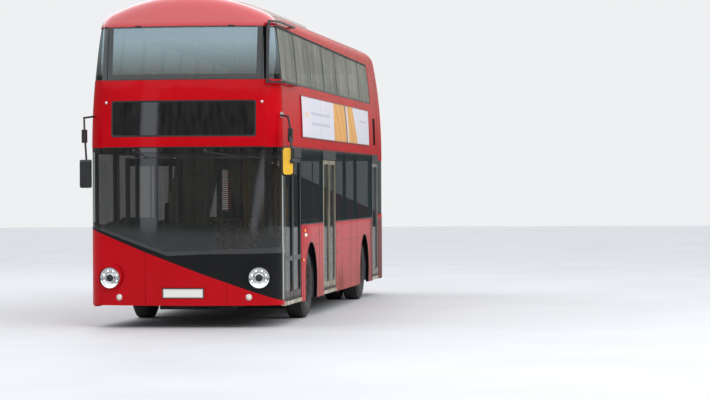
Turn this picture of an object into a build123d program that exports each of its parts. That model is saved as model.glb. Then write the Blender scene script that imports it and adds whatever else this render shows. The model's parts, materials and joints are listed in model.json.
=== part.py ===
from build123d import *
import os
from math import cos, sin, radians, sqrt

# A low-floor city double decker with three doors and two staircases.
# Millimetres. X is across the bus with the nearside doors at +X, Y runs from the front
# face at -Y to the rear at +Y, and Z is up from the ground.

# Overall size
LENGTH = 11230
WIDTH = 2520
WALL = 50

# Heights above the ground, stacked from the floor up
SKIRT_BOTTOM = 262
FRONT_BOTTOM = 290
FLOOR_TOP = 320
SILL_HEIGHT = 982
LOWER_HEADROOM = 1930
UPPER_FLOOR_THICKNESS = 110
LOWER_GLASS_OVER_CEILING = 84
BAND_OVER_CEILING = 75
UPPER_SILL_HEIGHT = 817
FRONT_SILL_HEIGHT = 840
UPPER_GLASS_FRONT = 713
UPPER_GLASS_REAR = 623
UPPER_HEADROOM = 1940

LOWER_SILL = FLOOR_TOP + SILL_HEIGHT
CEILING = FLOOR_TOP + LOWER_HEADROOM
UPPER_FLOOR_TOP = CEILING + UPPER_FLOOR_THICKNESS
LOWER_GLASS_TOP = CEILING + LOWER_GLASS_OVER_CEILING
BAND_FOOT = CEILING + BAND_OVER_CEILING
UPPER_SILL = UPPER_FLOOR_TOP + UPPER_SILL_HEIGHT
FRONT_SILL = UPPER_FLOOR_TOP + FRONT_SILL_HEIGHT
UPPER_TOP_FRONT = UPPER_SILL + UPPER_GLASS_FRONT
UPPER_TOP_REAR = UPPER_SILL + UPPER_GLASS_REAR
ROOF_TOP = UPPER_FLOOR_TOP + UPPER_HEADROOM

# Plan shape of the body, and how it draws in above the lower deck
FRONT_BULGE = 170
FRONT_CORNER = 270
REAR_BULGE = 90
REAR_CORNER = 300
BEND_START = CEILING + 30
BEND_HEIGHT = 1660
TUMBLEHOME = 105
FRONT_RAKE = 167
REAR_RAKE = 420

# Roof shape
CROWN_DROP = 365
ROOF_EDGE_RADIUS = 230
COWL_RISE = 90
COWL_WIDTH = 1400
COWL_DROP = 150
COWL_START = 2300
COWL_LENGTH = 4650
COWL_CORNER = 380
COWL_TAPER = 12

# Running gear
FRONT_OVERHANG = 2810
REAR_OVERHANG = 2490
TYRE_RADIUS = 479
TYRE_WIDTH = 276
TWIN_SPACING = 310
TYRE_INSET = 52
RIM_RADIUS = 286
ARCH_RADIUS = 555
ARCH_RISE = 20
KINGPIN_INSET = 130
KINGPIN_RADIUS = 22
SPINDLE_RADIUS = 38
REAR_SPINDLE_RADIUS = 50
PIN_CLEARANCE = 0.05
STUD_CIRCLE = 335
STUD_COUNT = 10
STUD_RADIUS = 11
HAND_HOLES = 10
HAND_HOLE_RADIUS = 22
TOE_IN = 0.3

# Doors, measured from the front face, and the rear one from the rear face
FRONT_DOOR_START = 440
FRONT_DOOR_WIDTH = 1454
MIDDLE_DOOR_START = 4033
MIDDLE_DOOR_WIDTH = 1330
REAR_DOOR_WIDTH = 803
REAR_DOOR_END = 620
DOOR_HEADER = 134
LEAF_THICKNESS = 40
DOOR_GAP = 10
HINGE_GAP = 10
HINGE_PIN_RADIUS = 10
HINGE_PIN_DEPTH = 25
LEAF_FRAME = 55
LEAF_KICK = 110
LEAF_RAIL_Z = 870
LEAF_RAIL = 60
STEP_THICKNESS = 50

# Glass
GLASS_RECESS = 4
GLASS = 8
SEAT_GAP = 0.3
PANE_GAP = 8
POST = 70

# Seats
SEAT_PITCH = 760
SEAT_WIDTH = 880
SEAT_DEPTH = 430
SEAT_TOP = 450
BACK_HEIGHT = 1000
CUSHION = 80
SEAT_FROM_WALL = 100

FRONT = -LENGTH / 2
REAR = LENGTH / 2
HALF = WIDTH / 2
FRONT_SEAM = FRONT + FRONT_DOOR_START
REAR_SEAM = REAR - REAR_DOOR_END
FRONT_AXLE = FRONT + FRONT_OVERHANG
REAR_AXLE = REAR - REAR_OVERHANG
AXLE_HEIGHT = TYRE_RADIUS
WHEEL_CENTRE = HALF - TYRE_INSET - TYRE_WIDTH / 2
KINGPIN_X = WHEEL_CENTRE - KINGPIN_INSET
ARCH_HEIGHT = AXLE_HEIGHT + ARCH_RISE
FRONT_DOOR = (FRONT_SEAM, FRONT_SEAM + FRONT_DOOR_WIDTH)
MIDDLE_DOOR = (FRONT + MIDDLE_DOOR_START, FRONT + MIDDLE_DOOR_START + MIDDLE_DOOR_WIDTH)
REAR_DOOR = (REAR_SEAM - REAR_DOOR_WIDTH, REAR_SEAM)
DOORS = (FRONT_DOOR, MIDDLE_DOOR, REAR_DOOR)
BEYOND = 400
TOP = ROOF_TOP + BEYOND

os.makedirs("parts", exist_ok=True)


def save(name, *pieces):
    """Write one node, made of one or more solids."""
    solids = [s for piece in pieces for s in piece.solids()]
    shape = solids[0] if len(solids) == 1 else Compound(children=solids)
    export_step(shape, f"parts/{name}.step")


def span(side, a, b):
    """The range from a to b, mirrored on the offside."""
    return sorted((side * a, side * b))


def block(x0, x1, y0, y1, z0, z1):
    """An upright box between two corners."""
    centre = Pos((x0 + x1) / 2, (y0 + y1) / 2, (z0 + z1) / 2)
    return centre * Box(x1 - x0, y1 - y0, z1 - z0)


def prism_x(points, x0, x1):
    """A polygon of (y, z) points carried from x0 to x1."""
    face = make_face(Polyline(*[(x0, y, z) for y, z in points], close=True))
    return extrude(face, x1 - x0, dir=(1, 0, 0))


def prism_y(points, y0, y1):
    """A polygon of (x, z) points carried from y0 to y1."""
    face = make_face(Polyline(*[(x, y0, z) for x, z in points], close=True))
    return extrude(face, y1 - y0, dir=(0, 1, 0))


def rod(start, end, radius):
    """A round bar between two points."""
    line = Edge.make_line(start, end)
    plane = Plane(origin=start, z_dir=line.tangent_at(0))
    return extrude(plane * Circle(radius), line.length)


def cylinder_x(x0, x1, y, z, radius):
    a, b = sorted((x0, x1))
    return Pos((a + b) / 2, y, z) * Rot(0, 90, 0) * Cylinder(radius, b - a)


def cylinder_y(y0, y1, x, z, radius):
    return Pos(x, (y0 + y1) / 2, z) * Rot(90, 0, 0) * Cylinder(radius, y1 - y0)


def upright(x, y, z0, z1, radius):
    return Pos(x, y, (z0 + z1) / 2) * Cylinder(radius, z1 - z0)


def window(width, height, radius, x, z, y0, y1):
    """A cutter with rounded corners that runs along Y."""
    face = Plane(origin=(x, y0, z), x_dir=(1, 0, 0), z_dir=(0, 1, 0)) * RectangleRounded(width, height, radius)
    return extrude(face, y1 - y0)


def spun(points):
    """A profile of (radius, outward) points turned about the local Z axis."""
    return revolve(make_face(Polyline(*[(r, 0, w) for r, w in points], close=True)), Axis.Z, 360)


# Body envelope
CROWN_RADIUS = (HALF**2 + CROWN_DROP**2) / (2 * CROWN_DROP)
BULGE_RADIUS = (HALF**2 + FRONT_BULGE**2) / (2 * FRONT_BULGE)
LOFT_STEPS = [0, 0.35, 0.7, 1]
LOFT_OVER_ROOF = 150


def bend(z):
    """How far up the drawn-in part of the body a height is, from 0 to 1 and beyond."""
    return max(0, z - BEND_START) / BEND_HEIGHT


def outline(z, inset):
    """The body's plan at height z, set in from the outer skin by inset."""
    half = HALF - TUMBLEHOME * bend(z) ** 2 - inset
    front = FRONT + FRONT_RAKE * bend(z) ** 2 + inset
    rear = REAR - REAR_RAKE * bend(z) ** 3 - inset
    front_edge = front + FRONT_BULGE
    rear_edge = rear - REAR_BULGE
    with BuildSketch(Plane.XY.offset(z)) as plan:
        with BuildLine():
            ThreePointArc((-half, front_edge), (0, front), (half, front_edge))
            Line((half, front_edge), (half, rear_edge))
            ThreePointArc((half, rear_edge), (0, rear), (-half, rear_edge))
            Line((-half, rear_edge), (-half, front_edge))
        make_face()
        corners = plan.vertices().sort_by(Axis.Y)
        fillet(corners[:2], FRONT_CORNER - inset)
        fillet(corners[2:], REAR_CORNER - inset)
    return plan.sketch.faces()[0]


def envelope(inset):
    """The closed outer form of the body, set in by inset."""
    base = extrude(outline(BEND_START, inset), BEND_START - SKIRT_BOTTOM + BEYOND, dir=(0, 0, -1))
    heights = [BEND_START + BEND_HEIGHT * step for step in LOFT_STEPS] + [ROOF_TOP + LOFT_OVER_ROOF]
    upper = loft([outline(z, inset) for z in heights])
    upper &= cylinder_y(2 * FRONT, 2 * REAR, 0, ROOF_TOP - CROWN_RADIUS, CROWN_RADIUS - inset)
    rim = [e for e in upper.edges() if e.center().Z > ROOF_TOP - inset - CROWN_DROP - 100]
    upper = upper.solids()[0].fillet(ROOF_EDGE_RADIUS - inset, rim)
    return base + upper


FORMS = {}


def form(inset):
    if inset not in FORMS:
        FORMS[inset] = envelope(inset)
    return FORMS[inset]


def skin(outer, inner):
    """The layer of the body's wall between two depths."""
    if (outer, inner) not in FORMS:
        FORMS[outer, inner] = form(outer) - form(inner)
    return FORMS[outer, inner]


def whole(z0, z1, y0=FRONT - BEYOND, y1=REAR + BEYOND):
    return block(-HALF - BEYOND, HALF + BEYOND, y0, y1, z0, z1)


def half_width(z):
    """From the middle of the bus to its skin at height z."""
    return HALF - TUMBLEHOME * bend(z) ** 2


def front_skin(x, z):
    """Where the front face lies along Y."""
    return FRONT + BULGE_RADIUS - sqrt(BULGE_RADIUS**2 - x**2) + FRONT_RAKE * bend(z) ** 2


def on_front(x, z, turn):
    """A place on the front face whose local Z points outward, turned towards its corner."""
    side = 1 if x > 0 else -1
    out = (side * sin(radians(turn)), -cos(radians(turn)), 0)
    across = (cos(radians(turn)), side * sin(radians(turn)), 0)
    return Plane(origin=(x, front_skin(x, z), z), x_dir=across, z_dir=out).location


wall = skin(0, WALL)
front_wall = wall & whole(FRONT_BOTTOM, TOP, y1=FRONT_SEAM)
rear_wall = wall & whole(SKIRT_BOTTOM, TOP, y0=REAR_SEAM)
middle = wall & whole(SKIRT_BOTTOM, TOP, FRONT_SEAM, REAR_SEAM)
near_wall = middle & block(0, HALF + BEYOND, FRONT, REAR, 0, TOP)
off_wall = middle & block(-HALF - BEYOND, 0, FRONT, REAR, 0, TOP)
glass_skin = skin(GLASS_RECESS, GLASS_RECESS + GLASS)
post_skin = skin(GLASS_RECESS + GLASS + SEAT_GAP, WALL)

# Lamps let into the front. Each row: distance from the middle, height, turn, hole radius
LAMP_RADIUS = 140
LAMP_TURN = 14
LAMP_BACK = 46
SIDELIGHT_RADIUS = 40
MARKER_RADIUS = 18
FRONT_LAMPS = {"headlamp": (975, 645, LAMP_TURN, LAMP_RADIUS),
               "sidelight": (847, 395, 10, SIDELIGHT_RADIUS),
               "marker": (1020, UPPER_FLOOR_TOP + 545, LAMP_TURN, MARKER_RADIUS)}
# Profiles as (radius, outward)
LAMP_PROFILE = [(0, -LAMP_BACK), (LAMP_RADIUS, -LAMP_BACK), (LAMP_RADIUS, 8), (LAMP_RADIUS - 8, 14),
                (LAMP_RADIUS - 22, 6), (LAMP_RADIUS - 26, -6), (60, -18), (57, -4), (48, 0), (42, -14),
                (0, -16)]
SIDELIGHT_PROFILE = [(0, -30), (SIDELIGHT_RADIUS, -30), (SIDELIGHT_RADIUS, 4), (34, 8), (30, 2), (0, 6)]
MARKER_PROFILE = [(0, -20), (MARKER_RADIUS, -20), (MARKER_RADIUS, 3), (12, 10), (0, 13)]
LED_COUNT = 8
LED_CIRCLE = 96
LED_RADIUS = 10
LED_FLOOR = -15
LAMP_REACH = 200
lamp_holes = []
for x, z, turn, radius in FRONT_LAMPS.values():
    for side in (1, -1):
        lamp_holes.append(on_front(side * x, z, turn) * Cylinder(radius + SEAT_GAP, LAMP_REACH))
headlamp = spun(LAMP_PROFILE)
for i in range(LED_COUNT):
    angle = radians(360 * (i + 0.5) / LED_COUNT)
    headlamp -= Pos(LED_CIRCLE * cos(angle), LED_CIRCLE * sin(angle), LED_FLOOR + 20) * Cylinder(LED_RADIUS, 40)
lamp_forms = {"headlamp": headlamp, "sidelight": spun(SIDELIGHT_PROFILE), "marker": spun(MARKER_PROFILE)}
lamps = []
for name, (x, z, turn, radius) in FRONT_LAMPS.items():
    for side in (1, -1):
        lamps.append(on_front(side * x, z, turn) * lamp_forms[name])
save("front_lamps", *lamps)

# Front, from the skirt to the dome
# Panel edges across the front, as (x, z) from the offside to the nearside
SPLIT_LINE = [(-HALF - BEYOND, 1449), (-1203, 1263), (-494, 975), (224, 704), (849, 480), (HALF + BEYOND, 212)]
SCREEN_FOOT = [(-HALF - BEYOND, 1458), (-1195, 1289), (-205, 929), (226, 948), (HALF + BEYOND, 965)]
# The red panel's vertical seams, and the number plate's recess
FRONT_SEAMS = (-496, 560)
PLATE_RECESS = (-340, 300, 377, 525)
PLATE_RECESS_DEPTH = 18
# The hood over each headlamp is a crescent
HOOD_RADIUS = 172
HOOD_LIFT = 24
HOOD_HEIGHT = 30
HOOD_ROOT = 25


def above(line, top):
    return line + [(line[-1][0], top), (line[0][0], top)]


over_split = prism_y(above(SPLIT_LINE, TOP), FRONT - BEYOND, FRONT_SEAM + BEYOND)
over_foot = prism_y(above(SCREEN_FOOT, TOP), FRONT - BEYOND, FRONT_SEAM + BEYOND)
lower_front = front_wall & whole(0, BAND_FOOT)
front_red = front_wall - over_split
front_black = (lower_front & over_split) - over_foot
hoods = []
for side in (-1, 1):
    x, z = side * FRONT_LAMPS["headlamp"][0], FRONT_LAMPS["headlamp"][1]
    crescent = cylinder_y(FRONT - BEYOND, FRONT_SEAM, x, z + HOOD_LIFT, HOOD_RADIUS)
    crescent -= cylinder_y(FRONT - BEYOND, FRONT_SEAM, x, z, LAMP_RADIUS + 3)
    hoods.append((form(-HOOD_HEIGHT) & crescent) - form(HOOD_ROOT))
front_red += hoods[0]
front_black += hoods[1]
for hole in lamp_holes:
    front_red -= hole
    front_black -= hole
recess = block(PLATE_RECESS[0], PLATE_RECESS[1], FRONT - BEYOND, FRONT + PLATE_RECESS_DEPTH,
               PLATE_RECESS[2], PLATE_RECESS[3])
front_red -= recess
edges = [-HALF - BEYOND, FRONT_SEAMS[0], FRONT_SEAMS[1], HALF + BEYOND]
red_pieces = []
for left, right in zip(edges[:-1], edges[1:]):
    strip = block(left + PANE_GAP / 4, right - PANE_GAP / 4, FRONT - BEYOND, FRONT_SEAM, 0, TOP)
    red_pieces.append(front_red & strip)
lower_screen = glass_skin & whole(0, BAND_FOOT, y1=FRONT_SEAM) & over_foot

DISPLAY_WIDTH = 1890
DISPLAY_HEIGHT = 468
DISPLAY_OVER_FLOOR = 334
DISPLAY_DEPTH = 25
DISPLAY_CORNER = 30
DISPLAY_Z = UPPER_FLOOR_TOP + DISPLAY_OVER_FLOOR
display_cut = window(DISPLAY_WIDTH, DISPLAY_HEIGHT, DISPLAY_CORNER, 0, DISPLAY_Z, FRONT - BEYOND, FRONT + 600)
display = skin(GLASS_RECESS, DISPLAY_DEPTH) & display_cut
front_band = (front_wall & whole(BAND_FOOT, FRONT_SILL)) - (display_cut - form(DISPLAY_DEPTH))
for hole in lamp_holes:
    front_band -= hole

# The upper screen has a middle pane between two pillars and a pane round each corner
PILLAR = (950, 1075)
pillar_middle = sum(PILLAR) / 2
upper_screen = glass_skin & whole(FRONT_SILL, UPPER_TOP_FRONT, y1=FRONT_SEAM - PANE_GAP / 2)
for side in (1, -1):
    upper_screen -= block(*span(side, pillar_middle - PANE_GAP / 2, pillar_middle + PANE_GAP / 2),
                          FRONT - BEYOND, FRONT_SEAM, 0, TOP)

save("front_red_panel", *red_pieces)
save("front_black_panel", front_black)
save("lower_windscreen", lower_screen)
save("front_band", front_band)
save("destination_display", display)
save("upper_windscreen", upper_screen)

# Sides
arch = []
for y in (FRONT_AXLE, REAR_AXLE):
    barrel = cylinder_x(-HALF - BEYOND, HALF + BEYOND, y, ARCH_HEIGHT, ARCH_RADIUS)
    arch.append(barrel + block(-HALF - BEYOND, HALF + BEYOND, y - ARCH_RADIUS, y + ARCH_RADIUS, 0, ARCH_HEIGHT))
near_skirt = near_wall & whole(SKIRT_BOTTOM, LOWER_SILL)
off_skirt = off_wall & whole(SKIRT_BOTTOM, LOWER_SILL)
for y0, y1 in DOORS:
    near_skirt -= block(0, HALF + BEYOND, y0, y1, 0, TOP)
for cutter in arch:
    near_skirt -= cutter
    off_skirt -= cutter
save("nearside_skirt", near_skirt)
save("offside_skirt", off_skirt)

LOUVRE_GAP = 34
LOUVRE_THICKNESS = 8
LOUVRE_SLOPE = 20
LOUVRE_ROOT = 2


def louvres(side, y0, y1, z0, z1):
    """The blades of a vent, leaning in and up, with their ends let into the panel."""
    count = int((z1 - z0) / LOUVRE_GAP)
    pitch = (z1 - z0) / count
    outer, inner = side * HALF, side * (HALF - WALL + LOUVRE_ROOT)
    blades = None
    for i in range(count):
        z = z0 + pitch * i
        low, high = z + LOUVRE_SLOPE, z + LOUVRE_SLOPE + LOUVRE_THICKNESS
        section = [(outer, z), (outer, z + LOUVRE_THICKNESS), (inner, high), (inner, low)]
        blade = prism_y(section, y0 - LOUVRE_ROOT, y1 + LOUVRE_ROOT)
        blades = blade if blades is None else blades + blade
    return blades & skin(GLASS_RECESS, WALL)


def vent(panel, side, y0, y1, z0, z1):
    hole = block(*span(side, 0, HALF + BEYOND), y0, y1, z0, z1)
    return panel - hole + louvres(side, y0, y1, z0, z1)


# Each vent: its ends before the rear seam, and heights over the upper floor or the lower sill
NEAR_VENT = (REAR_SEAM - 630, REAR_SEAM - 320, UPPER_FLOOR_TOP + 140, UPPER_FLOOR_TOP + 582)
OFF_VENT = (REAR_SEAM - 1050, REAR_SEAM - 210, LOWER_SILL + 120, LOWER_SILL + 800)
OFF_GLASS_END = REAR_SEAM - 1280
# The offside stair's window follows its flight, as (along, up)
STAIR_WINDOW = [(FRONT + 3600, LOWER_GLASS_TOP), (FRONT + 4900, LOWER_GLASS_TOP),
                (FRONT + 6200, UPPER_SILL), (FRONT + 4900, UPPER_SILL)]
QUARTER_WINDOW = [(REAR_SEAM, UPPER_SILL - 640), (REAR_SEAM, UPPER_SILL), (REAR_SEAM - 1250, UPPER_SILL)]
near_mid = vent(near_wall & whole(LOWER_GLASS_TOP, UPPER_SILL), 1, *NEAR_VENT)
off_mid = off_wall & whole(LOWER_GLASS_TOP, UPPER_SILL)
off_mid += off_wall & whole(LOWER_SILL, LOWER_GLASS_TOP, OFF_GLASS_END, REAR_SEAM)
off_mid = vent(off_mid, -1, *OFF_VENT)
stair_window = prism_x(STAIR_WINDOW, -HALF - BEYOND, 0)
quarter_window = prism_x(QUARTER_WINDOW, -HALF - BEYOND, 0)
off_mid = off_mid - stair_window - quarter_window
save("nearside_mid_panel", near_mid)
save("offside_mid_panel", off_mid)
stair_pane = glass_skin & stair_window & whole(LOWER_GLASS_TOP + PANE_GAP, UPPER_SILL - PANE_GAP)
save("stair_window_glass", stair_pane)

UPPER_GLASS_END = REAR_SEAM - 730
GLASS_LEAN = 110
GLASS_CORNER = 90
with BuildSketch(Plane.YZ) as band_face:
    with BuildLine():
        Polyline((FRONT_SEAM, UPPER_SILL), (UPPER_GLASS_END, UPPER_SILL),
                 (UPPER_GLASS_END - GLASS_LEAN, UPPER_TOP_REAR), (FRONT_SEAM, UPPER_TOP_FRONT), close=True)
    make_face()
    fillet(band_face.vertices().sort_by(Axis.X)[2:], GLASS_CORNER)
upper_band = extrude(band_face.sketch, HALF + BEYOND, both=True)
roof = ((middle & whole(UPPER_SILL, TOP)) - upper_band) + (front_wall & whole(UPPER_TOP_FRONT, TOP))
roof += rear_wall & whole(UPPER_TOP_REAR, TOP)
save("roof_shell", roof)

# The roof cowl is a low crowned fairing
cowl_top = ROOF_TOP + COWL_RISE
cowl_half = COWL_WIDTH / 2
cowl_y = (FRONT + COWL_START, FRONT + COWL_START + COWL_LENGTH)
with BuildSketch(Plane.XZ.offset(-cowl_y[0])) as cowl_face:
    with BuildLine():
        ThreePointArc((-cowl_half, cowl_top - COWL_DROP), (0, cowl_top), (cowl_half, cowl_top - COWL_DROP))
        Polyline((cowl_half, cowl_top - COWL_DROP), (cowl_half, cowl_top - BEYOND),
                 (-cowl_half, cowl_top - BEYOND), (-cowl_half, cowl_top - COWL_DROP))
    make_face()
cowl = extrude(cowl_face.sketch, -COWL_LENGTH)
plan = Pos(0, sum(cowl_y) / 2, cowl_top - BEYOND) * RectangleRounded(COWL_WIDTH, COWL_LENGTH, COWL_CORNER)
cowl &= extrude(plan, 2 * BEYOND, taper=COWL_TAPER)
save("roof_cowl", cowl - form(0))

# Side glass, split where the panes meet
# The panes between the middle and rear doors, whose widths fill that run in these parts
REAR_PANES = (1137, 1290, 2017)
pane_scale = (REAR_DOOR[0] - MIDDLE_DOOR[1]) / sum(REAR_PANES)
NEAR_JOINTS = [MIDDLE_DOOR[1] + sum(REAR_PANES[:i]) * pane_scale for i in (1, 2)]
# Pane joints on the offside, the first ones from the front
OFF_JOINTS = [FRONT + 1600, FRONT + 3000, FRONT + 4300, MIDDLE_DOOR[1]] + NEAR_JOINTS
UPPER_BAYS = 7
upper_pitch = (UPPER_GLASS_END - FRONT_SEAM) / UPPER_BAYS
UPPER_JOINTS = [FRONT_SEAM + upper_pitch * (i + 1) for i in range(UPPER_BAYS - 1)]


def split(glass, side, places):
    for y in places:
        glass -= block(*span(side, 0, HALF + BEYOND), y - PANE_GAP / 2, y + PANE_GAP / 2, 0, TOP)
    return glass


lower_zone = glass_skin & whole(LOWER_SILL, LOWER_GLASS_TOP, FRONT_SEAM + PANE_GAP / 2, REAR_SEAM)
near_glass = lower_zone & block(0, HALF + BEYOND, FRONT, REAR, 0, TOP)
for y0, y1 in DOORS:
    near_glass -= block(0, HALF + BEYOND, y0 - PANE_GAP / 2, y1 + PANE_GAP / 2, 0, TOP)
off_glass = lower_zone & block(-HALF - BEYOND, 0, FRONT, OFF_GLASS_END - PANE_GAP / 2, 0, TOP)
save("lower_side_glass", split(near_glass, 1, NEAR_JOINTS), split(off_glass, -1, OFF_JOINTS))
upper_glass = glass_skin & upper_band
for side in (1, -1):
    upper_glass = split(upper_glass, side, UPPER_JOINTS)
save("upper_side_glass", upper_glass)

# Posts behind the glass, the two pillars of the upper screen, and a header over each door
LEAF_OUT = HALF - 5
PIVOT_X = LEAF_OUT - LEAF_THICKNESS / 2
PIVOT_INSET = HINGE_GAP + LEAF_THICKNESS / 2
LEAF_BOTTOM = FLOOR_TOP + DOOR_GAP
HEADER_BOTTOM = LOWER_GLASS_TOP - DOOR_HEADER
LEAF_TOP = HEADER_BOTTOM - DOOR_GAP
# Each pivot's place along the bus
PIVOTS = [FRONT_DOOR[0] + PIVOT_INSET, FRONT_DOOR[1] - PIVOT_INSET, MIDDLE_DOOR[0] + PIVOT_INSET,
          MIDDLE_DOOR[1] - PIVOT_INSET, REAR_DOOR[1] - PIVOT_INSET]


def pivot_pin(y, radius, reach):
    """A door's pivot line, from below the leaf to above it."""
    return upright(PIVOT_X, y, FLOOR_TOP - reach, HEADER_BOTTOM + reach, radius)


pin_holes = [pivot_pin(y, HINGE_PIN_RADIUS + PIN_CLEARANCE, HINGE_PIN_DEPTH + 2) for y in PIVOTS]
near_posts = [FRONT_DOOR[1] + POST / 2, MIDDLE_DOOR[0] - POST / 2, MIDDLE_DOOR[1] + POST / 2,
              REAR_DOOR[0] - POST / 2] + NEAR_JOINTS
off_posts = [FRONT_SEAM + POST / 2, OFF_GLASS_END - POST / 2] + OFF_JOINTS
posts = []
for side, places in ((1, near_posts), (-1, off_posts)):
    for y in places:
        posts.append(post_skin & block(*span(side, HALF - 200, HALF + 50), y - POST / 2, y + POST / 2,
                                       LOWER_SILL, LOWER_GLASS_TOP))
for side in (1, -1):
    for y in [FRONT_SEAM] + UPPER_JOINTS:
        box = block(*span(side, HALF - 400, HALF + 50), y - POST / 2, y + POST / 2, UPPER_SILL, UPPER_TOP_FRONT)
        posts.append(post_skin & box & upper_band)
    pillar_box = block(*span(side, *PILLAR), FRONT - BEYOND, FRONT_SEAM, FRONT_SILL, UPPER_TOP_FRONT)
    posts.append(post_skin & pillar_box)
for y0, y1 in DOORS:
    header = near_wall & block(0, HALF + BEYOND, y0, y1, HEADER_BOTTOM, LOWER_GLASS_TOP)
    for hole in pin_holes:
        header -= hole
    posts.append(header)
save("window_posts", *posts)

# Rear: a ribbon of glass follows the rear stair from low on the nearside to high on the offside
RIBBON = [(HALF + BEYOND, 1168), (HALF + BEYOND, 2100), (-HALF - BEYOND, 3351), (-HALF - BEYOND, 2682)]
REAR_WINDOW = (1800, 480, 120)
GRILLE_SLOTS = 9
GRILLE_PITCH = 48
GRILLE_SLOT = 22
GRILLE = (-820, 380, 520)
GRILLE_DEPTH = 25
ribbon = prism_y(RIBBON, REAR_SEAM - 10, REAR + BEYOND)
rear_window_z = (UPPER_SILL + UPPER_TOP_REAR) / 2
rear_window = window(*REAR_WINDOW, 0, rear_window_z, REAR_SEAM, REAR + BEYOND)
rear_panel = (rear_wall & whole(0, UPPER_TOP_REAR)) - ribbon - rear_window
for i in range(GRILLE_SLOTS):
    z = GRILLE[2] + GRILLE_PITCH * i
    slot = block(GRILLE[0], GRILLE[1], REAR - BEYOND, REAR + BEYOND, z, z + GRILLE_SLOT)
    rear_panel -= slot - form(GRILLE_DEPTH)
save("rear_panel", rear_panel)
rear_zone = whole(0, TOP, y0=REAR_SEAM + PANE_GAP / 2)
save("rear_glass", glass_skin & ribbon & rear_zone, glass_skin & rear_window,
     glass_skin & quarter_window & whole(0, UPPER_SILL - PANE_GAP, y1=REAR_SEAM - PANE_GAP / 2))

# Floors and the boxes over the wheels
FLOOR_THICKNESS = 30
FLOOR_BOTTOM = FLOOR_TOP - FLOOR_THICKNESS
BOX_WALL = 25
BOX_TOP = 1120
FRONT_BOX_X = 575
REAR_BOX_X = 500
inner_form = form(WALL)
floor = inner_form & whole(FLOOR_BOTTOM, FLOOR_TOP)
wheel_boxes = []
for axle, inner_x in ((FRONT_AXLE, FRONT_BOX_X), (REAR_AXLE, REAR_BOX_X)):
    for side in (1, -1):
        reach = ARCH_RADIUS + BOX_WALL
        outer = block(*span(side, inner_x, HALF - WALL), axle - reach, axle + reach, FLOOR_TOP, BOX_TOP)
        hollow = block(*span(side, inner_x + BOX_WALL, HALF + BEYOND), axle - ARCH_RADIUS, axle + ARCH_RADIUS,
                       0, BOX_TOP - BOX_WALL)
        wheel_boxes.append(outer - hollow)
        floor -= hollow
save("lower_floor", floor)
save("wheel_boxes", *wheel_boxes)

# Stairs along the offside
STAIR_WIDTH = 620
STAIR_CLEARANCE = 20
STEPS = 9
GOING = 250
REAR_GOING = 230
TREAD = 30
RISER_THICKNESS = 20
STRINGER = 20
STRINGER_OVER = 60
STRINGER_UNDER = 230
FRONT_FOOT = FRONT + 3450
REAR_HEAD = REAR_SEAM - 860
NEWEL_RADIUS = 30
RISE = (UPPER_FLOOR_TOP - FLOOR_TOP) / (STEPS + 1)
STAIR_X = (-(HALF - WALL - STAIR_CLEARANCE), -(HALF - WALL - STAIR_CLEARANCE) + STAIR_WIDTH)


def straight_flight(foot, going, first, count):
    """Treads and risers along Y from foot; going is negative for a flight that climbs forward."""
    flight = None
    back = RISER_THICKNESS if going > 0 else -RISER_THICKNESS
    for i in range(count):
        z = FLOOR_TOP + RISE * (first + i)
        y = foot + going * i
        tread = block(*STAIR_X, *sorted((y, y + going)), z - TREAD, z)
        riser = block(*STAIR_X, *sorted((y, y + back)), max(FLOOR_TOP, z - RISE - TREAD), z)
        flight = tread + riser if flight is None else flight + tread + riser
    return flight


def top_riser(y, going):
    """The last riser, up to the upper floor, on the flight's side of y."""
    back = -RISER_THICKNESS if going > 0 else RISER_THICKNESS
    return block(*STAIR_X, *sorted((y, y + back)), UPPER_FLOOR_TOP - RISE - TREAD, UPPER_FLOOR_TOP)


def side_panel(foot, foot_z, head):
    """The stair's inboard side, a board along the slope."""
    x = STAIR_X[1]
    lean = (head - foot) * STRINGER_UNDER / (UPPER_FLOOR_TOP - foot_z)
    return prism_x([(foot, foot_z), (foot, foot_z + RISE + STRINGER_OVER), (head, UPPER_FLOOR_TOP),
                    (head, UPPER_FLOOR_TOP - STRINGER_UNDER), (foot + lean, foot_z)], x, x + STRINGER)


front_head = FRONT_FOOT + GOING * STEPS
front_flight = straight_flight(FRONT_FOOT, GOING, 1, STEPS) + top_riser(front_head, GOING)
front_flight += side_panel(FRONT_FOOT, FLOOR_TOP, front_head)

# The rear stair starts along the rear wall, turns about its newel and climbs forward
newel = (STAIR_X[1], REAR_HEAD + 3 * GOING)
rear_flight = upright(*newel, FLOOR_TOP, UPPER_FLOOR_TOP, NEWEL_RADIUS)
for i in range(3):
    z = FLOOR_TOP + RISE * (i + 1)
    x = newel[0] + REAR_GOING * (3 - i)
    foot_z = max(FLOOR_TOP, z - RISE - TREAD)
    rear_flight += block(x - REAR_GOING, x, newel[1], newel[1] + STAIR_WIDTH, z - TREAD, z)
    rear_flight += block(x - RISER_THICKNESS, x, newel[1], newel[1] + STAIR_WIDTH, foot_z, z)
quadrant = block(newel[0] - STAIR_WIDTH, newel[0], newel[1], newel[1] + STAIR_WIDTH, 0, TOP)
quadrant &= form(WALL) & whole(FLOOR_TOP, UPPER_FLOOR_TOP)
quadrant = quadrant & whole(0, TOP, y1=REAR - REAR_BULGE - WALL - STAIR_CLEARANCE)
REACH = 2 * STAIR_WIDTH
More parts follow.
